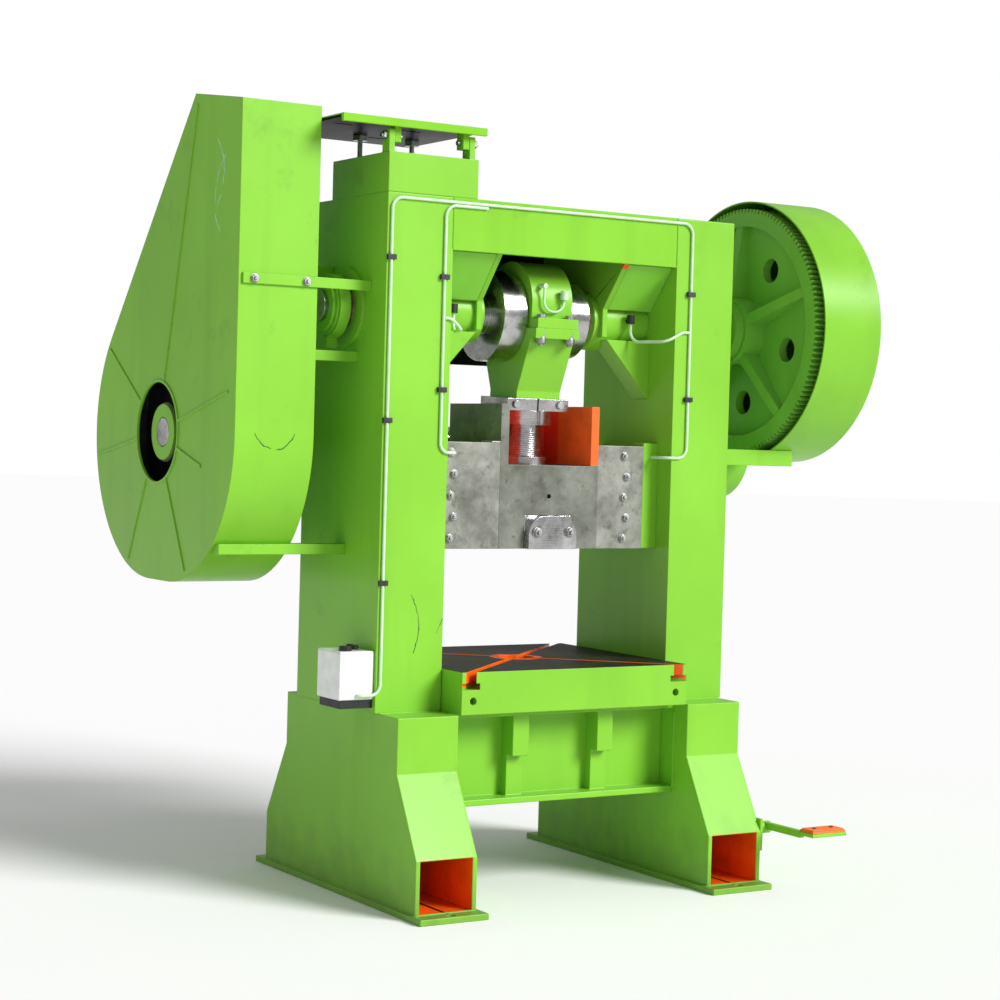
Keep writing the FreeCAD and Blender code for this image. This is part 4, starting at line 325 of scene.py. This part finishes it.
def finishes():
    (leg_x0, leg_y0, _), (leg_x1, leg_y1, _) = box_of("right_leg")
    wall = 0.0150
    inner = [((sign_low + wall, leg_y0 + 0.002, 0.0150), (sign_high - wall, leg_y1 - 0.002, 0.187), ORANGE)
             for sign_low, sign_high in ((leg_x0, leg_x1), (-leg_x1, -leg_x0))]
    (_, bol_y0, bol_z0), (_, bol_y1, bol_z1) = box_of("bolster")
    slots = [((-0.429, bol_y0 + 0.002, bol_z1 - 0.048), (0.429, bol_y1 - 0.002, bol_z1 - 0.001), ORANGE)]
    top = [((-1, -1, bol_z1 - 0.0006), (1, 1, bol_z1 + 0.01))]
    dark_scratch, pale_scratch = (0.03, 0.06, 0.02), (0.42, 0.72, 0.62)
    marks = [("X", (-0.72, 0.86), 0.20, (-0.667, -0.26, 0.78), (-0.44, -0.24, 0.98), dark_scratch),
             ("X", (-0.30, 0.80), 0.16, (-0.667, -0.26, 0.84), (-0.43, -0.24, 0.92), dark_scratch)]
    guard_low, guard_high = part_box("belt_guard")
    skin, behind = guard_low.x - 0.01, guard_low.x + 0.006
    rub = [("Y", (0.10, 2.24), 0.13, (skin, -0.04, 2.06), (behind, 0.02, 2.42), pale_scratch),
           ("Y", (-0.12, 2.16), 0.15, (skin, -0.04, 2.06), (behind, 0.05, 2.30), pale_scratch),
           ("X", (-0.98, 1.47), 0.07, (-1.06, guard_low.y - 0.01, 1.38),
            (-0.90, guard_low.y + 0.01, 1.45), dark_scratch)]
    slide_low, slide_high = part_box("slide")
    gib_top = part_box("left_front_gib")[1].z
    pocket_low = 1.3755
    pocket_start = pocket_low - 0.002
    slide_paint_and_shade = [((-0.161, slide_low.y + 0.001, pocket_start), (0.161, 0.14, slide_high.z), RED_ORANGE),
                   ((0.150, slide_low.y - 0.01, pocket_start),
                    (0.1905, slide_low.y + 0.2, slide_high.z + 0.01), ORANGE),
                   # Painted shade: two thin near-black stripes along the edges of the slide's left wing; the
                   # two boxes above are real orange paint.
                   ((-0.232, slide_low.y, gib_top), (-0.222, 0.2, slide_high.z + 0.01), SHADOW),
                   ((-0.205, slide_low.y, gib_top), (-0.190, 0.2, slide_high.z + 0.01), SHADOW)]
    crown_low, crown_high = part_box("crown")
    # Painted shade: near-black inside the crown between its front and back plates.
    crown_painted_shade = [((-0.43, crown_low.y + 0.024, crown_low.z),
                    (0.43, crown_high.y - 0.004, crown_high.z - 0.003), SHADOW)]
    window_low, window_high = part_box("window_plates")
    window_paint = [((0.1, window_low.y - 0.01, 1.9), (0.5, window_low.y + 0.012, 2.3), ORANGE),
                    ((-0.5, window_low.y - 0.01, 1.6), (-0.1, window_low.y + 0.012, 1.95), ORANGE)]
    plate_low, plate_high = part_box("motor_plate")
    # Painted shade: near-black on the motor plate's underside.
    plate_painted_shade = [((-2.0, plate_low.y + 0.014, plate_high.z - 0.016),
                    (2.0, 2.0, plate_high.z - 0.004), SHADOW)]
    looks = {
        "left_leg": enamel("LegPaint", accents=inner),
        "base_plates": enamel("BasePlatePaint", accents=inner),
        "left_column": enamel("LeftColumnPaint", scratches=marks),
        "bolster": enamel("BolsterPaint", accents=slots, bare=top,
                          rings=[(0.059, 0.088, bol_z1 - 0.001, ORANGE)]),
        "belt_guard": enamel("GuardPaint", scratches=rub),
        "crown": enamel("TopBeamPaint", accents=crown_painted_shade, Specular_IOR_Level=0.1),
        "window_plates": enamel("WindowPaint", accents=window_paint),
        "motor_plate": enamel("MotorPlatePaint", accents=plate_painted_shade, Coat_Weight=0.0,
                              Specular_IOR_Level=0.02),
        "slide": machined("SlideSteel", (0.27, 0.28, 0.235), roughness=(0.42, 0.62), grain=(0.15, 1, 1),
                          metallic=0.55, accents=slide_paint_and_shade),
        "green": enamel("MachineGreen"),
        # Paler copy of the machine green for the slanted panels: painted light against their shade.
        "panel": enamel("PanelGreenPaintedLight", PANEL_GREEN_PAINTED_LIGHT),
        "gear": enamel("GearGreen", (0.20, 0.52, 0.06)),
        "bright": machined("BrightSteel", (0.72, 0.72, 0.71), rust=0.08, roughness=(0.14, 0.3),
                           grain=(1, 0.02, 0.02)),
        "screw": machined("ScrewSteel", (0.70, 0.70, 0.69), rust=0.05, roughness=(0.15, 0.3),
                          grain=(0.02, 0.02, 1)),
        "gib": machined("GibSteel", (0.42, 0.43, 0.37), roughness=(0.36, 0.55), grain=(1, 1, 0.1),
                        metallic=0.65),
        "dark": machined("DarkSteel", (0.10, 0.10, 0.10), rust=0.15, roughness=(0.4, 0.6)),
        "iron": machined("CastIron", (0.17, 0.175, 0.18), rust=0.2, roughness=(0.45, 0.65)),
        "bolt": plain_finish("BoltZinc", (0.42, 0.43, 0.42), 0.38, 1.0),
        "bronze": machined("Bronze", (0.62, 0.40, 0.16), rust=0.0, roughness=(0.2, 0.35)),
        "white": plain_finish("BoxWhite", (0.90, 0.92, 0.90), 0.35, Coat_Weight=0.3),
        "black": plain_finish("CapBlack", (0.012, 0.012, 0.013), 0.45),
        "pipe": plain_finish("PipeNylon", (0.58, 0.82, 0.52), 0.32, Subsurface_Weight=0.15),
        "rubber": plain_finish("PedalRubber", (0.80, 0.16, 0.015), 0.6, depth=0.001),
    }
    looks["right_leg"] = looks["left_leg"]
    groups = {
        "green": "right_column bearing_housings bearing_gussets brake_drum brake_band "
                 "guard_brackets gear_guard connecting_rod rod_cap guide_blocks gib_block bed motor_pedestal "
                 "flywheel_hub_cap pedal_arm pedal_bracket shaft_bearing_blocks",
        "panel": "slanted_panels", "gear": "main_gear",
        "bright": "crankshaft gear_nut back_shaft shaft_collars pinion gear_key",
        "screw": "ball_screw lock_nut clamp_plate retaining_ring shank_clamp",
        "gib": "left_front_gib right_front_gib gib_wedge",
        "dark": "clutch_plate flywheel_bearings ball_seat oil_fittings",
        "iron": "flywheel", "bolt": "frame_bolts rod_bolts hinge_pins tension_screws clamp_studs",
        "bronze": "main_bushes crankpin_bush", "white": "lubricator_body", "black": "lubricator_fittings",
        "pipe": "lube_pipes rod_oil_tube", "rubber": "pedal_pad",
    }
    chosen = {node: look for look, names in groups.items() for node in names.split()}
    for name, thing in NODES.items():
        thing.data.materials.clear()
        thing.data.materials.append(looks[chosen.get(name, name)])
    return looks


# ---------------------------------------------------------------- softened edges

def soften(name, width):
    """Rounds a flat-sided CAD node's edges with modifiers only, so that they catch the light."""
    thing = NODES[name]
    weld = thing.modifiers.new("Weld", "WELD")
    weld.merge_threshold = 0.00002
    bevel = thing.modifiers.new("Round", "BEVEL")
    bevel.width = width
    bevel.segments = 2
    bevel.limit_method = "ANGLE"
    bevel.angle_limit = math.radians(40.0)
    for face in thing.data.polygons:
        face.use_smooth = False


# ---------------------------------------------------------------- mesh pieces

class Piece:
    """A mesh piece under construction, in the row frame."""

    def __init__(self, name):
        self.name = name
        self.form = bmesh.new()

    def rings(self, layers, closed=True):
        """Joins rings of points, each with the same count, and caps the ends."""
        made = [[self.form.verts.new(point) for point in layer] for layer in layers]
        count = len(made[0])
        for lower, upper in zip(made, made[1:]):
            for index in range(count):
                after = (index + 1) % count
                self.form.faces.new((lower[index], lower[after], upper[after], upper[index]))
        if closed:
            self.form.faces.new(list(reversed(made[0])))
            self.form.faces.new(made[-1])

    def done(self, body, material, replaces=(), sharp=30.0):
        bmesh.ops.recalc_face_normals(self.form, faces=self.form.faces)
        mesh = bpy.data.meshes.new(self.name)
        for face in self.form.faces:
            face.smooth = True
        self.form.to_mesh(mesh)
        self.form.free()
        mesh.set_sharp_from_angle(angle=math.radians(sharp))
        mesh.materials.append(material)
        thing = bpy.data.objects.new(self.name, mesh)
        bpy.context.scene.collection.objects.link(thing)
        if replaces:
            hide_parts(*replaces)
        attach(thing, body)
        return thing


def frame_at(origin, axis):
    """A function from (radius, angle, height) about axis through origin to a point."""
    axis = Vector(axis).normalized()
    side = axis.orthogonal().normalized()
    other = axis.cross(side)
    start = Vector(origin)

    def at(radius, angle, height):
        return start + axis * height + (side * math.cos(angle) + other * math.sin(angle)) * radius
    return at


def turned(piece, origin, axis, profile, segments=32):
    """profile is a list of (height, radius) along axis."""
    at = frame_at(origin, axis)
    turn = math.tau / segments
    piece.rings([[at(radius, index * turn, height) for index in range(segments)]
                 for height, radius in profile])


def hexagon(piece, origin, axis, flat, height, turn=0.0):
    """A hexagon head or nut with chamfered corners; flat is the radius to its flats."""
    at = frame_at(origin, axis)
    segments = 36
    chamfer = math.tan(math.radians(30.0))
    corner = []
    for index in range(segments):
        angle = index * math.tau / segments
        away = (angle + math.pi / 6) % (math.pi / 3) - math.pi / 6
        corner.append((angle + turn, flat / math.cos(away)))
    top = flat * 0.95
    piece.rings([
        [at(flat * 0.93, angle, 0.0) for angle, _ in corner],
        [at(reach, angle, (reach - flat * 0.93) * chamfer * 0.5) for angle, reach in corner],
        [at(reach, angle, height - (reach - top) * chamfer) for angle, reach in corner],
        [at(top, angle, height) for angle, _ in corner]])


def thread(piece, origin, axis, radius, length, pitch, depth, segments=24):
    """A screw thread as one twisted surface."""
    at = frame_at(origin, axis)
    layers = []
    steps = max(4, round(length / pitch * 4))
    for step in range(steps + 1):
        height = length * step / steps
        layer = []
        for index in range(segments):
            wave = (height / pitch - index / segments) % 1.0
            layer.append(at(radius - depth * abs(2.0 * wave - 1.0), index * math.tau / segments, height))
        layers.append(layer)
    piece.rings(layers)


def bead(piece, points, radius=0.0042, pitch=0.0055, seed=3):
    """A weld bead with ripples, along a run of straight lines."""
    draw = random.Random(seed)
    for start, end in zip(points, points[1:]):
        start, end = Vector(start), Vector(end)
        at = frame_at(start, end - start)
        count = max(3, round((end - start).length / pitch))
        layers = []
        for step in range(2 * count + 1):
            swell = radius * (1.0 if step % 2 else 0.84) * draw.uniform(0.92, 1.08)
            if step in (0, 2 * count):
                swell = radius * 0.3
            height = (end - start).length * step / (2 * count)
            layers.append([at(swell, index * math.tau / 7, height) for index in range(7)])
        piece.rings(layers)


def islands(name):
    """The separate solids of a CAD node, each as its corners and its points."""
    form = bmesh.new()
    form.from_mesh(NODES[name].data)
    bmesh.ops.remove_doubles(form, verts=form.verts, dist=0.00002)
    left = set(form.verts)
    found = []
    while left:
        queue = [left.pop()]
        group = []
        while queue:
            vertex = queue.pop()
            group.append(vertex.co.copy())
            for edge in vertex.link_edges:
                other = edge.other_vert(vertex)
                if other in left:
                    left.remove(other)
                    queue.append(other)
        low = Vector(min(point[i] for point in group) for i in range(3))
        high = Vector(max(point[i] for point in group) for i in range(3))
        found.append((low, high, group))
    form.free()
    return sorted(found, key=lambda item: tuple(item[0]))


def screw_of(low, high, group):
    """Reads a fastener's axis, its end beyond the head, and its radii from its points."""
    size = high - low
    spread = [abs(size[(i + 1) % 3] - size[(i + 2) % 3]) / max(size[(i + 1) % 3], size[(i + 2) % 3])
              for i in range(3)]
    way = spread.index(min(spread))
    middle = (low + high) / 2
    off = [((point - middle) - Vector(((point - middle)[i] if i == way else 0.0 for i in range(3)))).length
           for point in group]
    widest = max(off)
    heads = [point[way] for point, reach in zip(group, off) if reach > widest * 0.97]
    sign = 1.0 if sum(heads) / len(heads) > middle[way] else -1.0
    axis = Vector(((sign if i == way else 0.0) for i in range(3)))
    return way, middle, axis, widest, heads


def bolts(name, node, body, material, stud=0.0):
    """Stands for a node of bolts: washer, chamfered head, and a threaded end where stud is set."""
    piece = Piece(name)
    draw = random.Random(11)
    for low, high, group in islands(node):
        way, middle, axis, widest, heads = screw_of(low, high, group)
        seat = min(heads) if axis[way] > 0 else max(heads)
        tip = max(heads) if axis[way] > 0 else min(heads)
        base = middle.copy()
        base[way] = seat
        flat = widest * math.cos(math.pi / 6)
        tall = abs(tip - seat)
        washer = [(0.0, flat * 1.22), (tall * 0.16, flat * 1.28), (tall * 0.22, flat * 1.22)]
        turned(piece, base, axis, washer)
        hexagon(piece, base + axis * tall * 0.22, axis, flat, tall * 0.78, draw.uniform(0.0, 1.0))
        if stud:
            thread(piece, base + axis * tall, axis, flat * 0.56, stud, 0.002, 0.0008, 18)
        end = low[way] if axis[way] > 0 else high[way]
        shank = abs(seat - end)
        if shank > 0.002:
            bar = [(0.0, flat * 0.5), (0.001, flat * 0.55), (shank, flat * 0.55)]
            turned(piece, base - axis * shank, axis, bar, 20)
    return piece.done(body, material, replaces=(node,))


def rectangle(x0, x1, y0, y1, z):
    return [(x0, y0, z), (x1, y0, z), (x1, y1, z), (x0, y1, z), (x0, y0, z)]


def welds(material):
    """Beads where the plates of the frame meet."""
    piece = Piece("weld_beads")
    for side in ("left", "right"):
        leg_low, leg_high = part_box(side + "_leg")
        column_low, column_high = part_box(side + "_column")
        bead(piece, rectangle(leg_low.x, leg_high.x, leg_low.y, leg_high.y, leg_low.z))
        bead(piece, rectangle(leg_low.x, leg_high.x, column_low.y, column_high.y, leg_high.z - 0.001))
    bed_low, bed_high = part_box("bed")
    crown_low, crown_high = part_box("crown")
    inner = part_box("right_column")[0].x
    for sign in (-1, 1):
        edge = sign * bed_high.x
        bead(piece, [(edge, bed_low.y, bed_low.z + 0.01), (edge, bed_low.y, bed_high.z - 0.03)])
        bead(piece, [(edge, bed_high.y, bed_low.z + 0.01), (edge, bed_high.y, bed_high.z - 0.03)])
        bead(piece, [(sign * inner, crown_low.y, crown_high.z - 0.16),
                     (sign * inner, crown_low.y, crown_high.z)], 0.003)
    return piece.done("frame", material, sharp=60.0)


def slab(piece, low, high, round_off):
    """A flat block with its upright corners and its top edge rounded."""
    corners = ((high[0], high[1]), (low[0], high[1]), (low[0], low[1]), (high[0], low[1]))
    shoulder = high[2] - round_off
    layers = []
    for height, inset in ((low[2], 0.0), (shoulder, 0.0), (high[2] - round_off * 0.3, round_off * 0.3),
                          (high[2], round_off)):
        reach = max(round_off - inset, round_off * 0.02)
        layer = []
        for quarter, (x, y) in enumerate(corners):
            start = quarter * math.pi / 2
            middle_x = x - math.copysign(round_off, math.cos(start + math.pi / 4))
            middle_y = y - math.copysign(round_off, math.sin(start + math.pi / 4))
            for step in range(5):
                angle = start + step * math.pi / 8
                layer.append((middle_x + math.cos(angle) * reach, middle_y + math.sin(angle) * reach, height))
        layers.append(layer)
    piece.rings(layers)


def rod_thread(material):
    """The adjusting thread on the ball screw, along the rod from the ball to the crank pin."""
    ball, pin = BALL_CENTRE, CRANK_PIN
    axis = (pin - ball).normalized()
    piece = Piece("adjusting_thread")
    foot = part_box("retaining_ring")[1].z + 0.004
    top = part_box("clamp_plate")[0].z - 0.002
    thread(piece, ball + axis * (foot - ball.z), axis, 0.0605, top - foot, 0.007, 0.0032, 48)
    return piece.done("rod", material, sharp=60.0)


def tension_threads(material):
    """The threads of the two belt tension screws between their nuts."""
    piece = Piece("tension_threads")
    low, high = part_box("tension_screws")
    foot = low.z + 0.014
    for x in TENSION_X:
        thread(piece, (x, TENSION_Y, foot), (0, 0, 1), 0.0086, high.z - foot, 0.003, 0.0014, 18)
    return piece.done("frame", material, sharp=60.0)


def pedal_tread(rubber, dark):
    """A ribbed foot pad and the two screws that hold it."""
    low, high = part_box("pedal_pad")
    pad = Piece("pedal_tread")
    slab(pad, (low.x + 0.001, low.y + 0.001, low.z), (high.x - 0.001, high.y - 0.001, high.z - 0.004), 0.004)
    ribs = 7
    pitch = (high.y - low.y - 0.010) / ribs
    for index in range(ribs):
        start = low.y + 0.005 + pitch * index
        slab(pad, (low.x + 0.006, start + pitch * 0.22, high.z - 0.006),
             (high.x - 0.006, start + pitch * 0.78, high.z), 0.0018)
    pad.done("pedal", rubber, replaces=("pedal_pad",))
    screws = Piece("pedal_screws")
    for share in (0.25, 0.75):
        spot = (low.x + (high.x - low.x) * share, (low.y + high.y) / 2, high.z - 0.003)
        turned(screws, spot, (0, 0, 1), [(0.0, 0.0068), (0.004, 0.0068), (0.0052, 0.0056)], 20)
    screws.done("pedal", dark)


FLAT_SIDED = ("left_leg right_leg left_column right_column crown slide base_plates motor_pedestal bed "
              "gib_block gib_wedge window_plates slanted_panels guide_blocks")

camera()
studio()
LOOKS = finishes()
for node_name in FLAT_SIDED.split():
    soften(node_name, 0.0025)
welds(LOOKS["green"])
bolts("frame_bolt_heads", "frame_bolts", "frame", LOOKS["bolt"], stud=0.006)
bolts("rod_bolt_heads", "rod_bolts", "rod", LOOKS["bolt"])
bolts("clamp_stud_nuts", "clamp_studs", "ram", LOOKS["bolt"], stud=0.008)
rod_thread(LOOKS["screw"])
tension_threads(LOOKS["bolt"])
pedal_tread(LOOKS["rubber"], LOOKS["dark"])
soften("lubricator_body", 0.006)
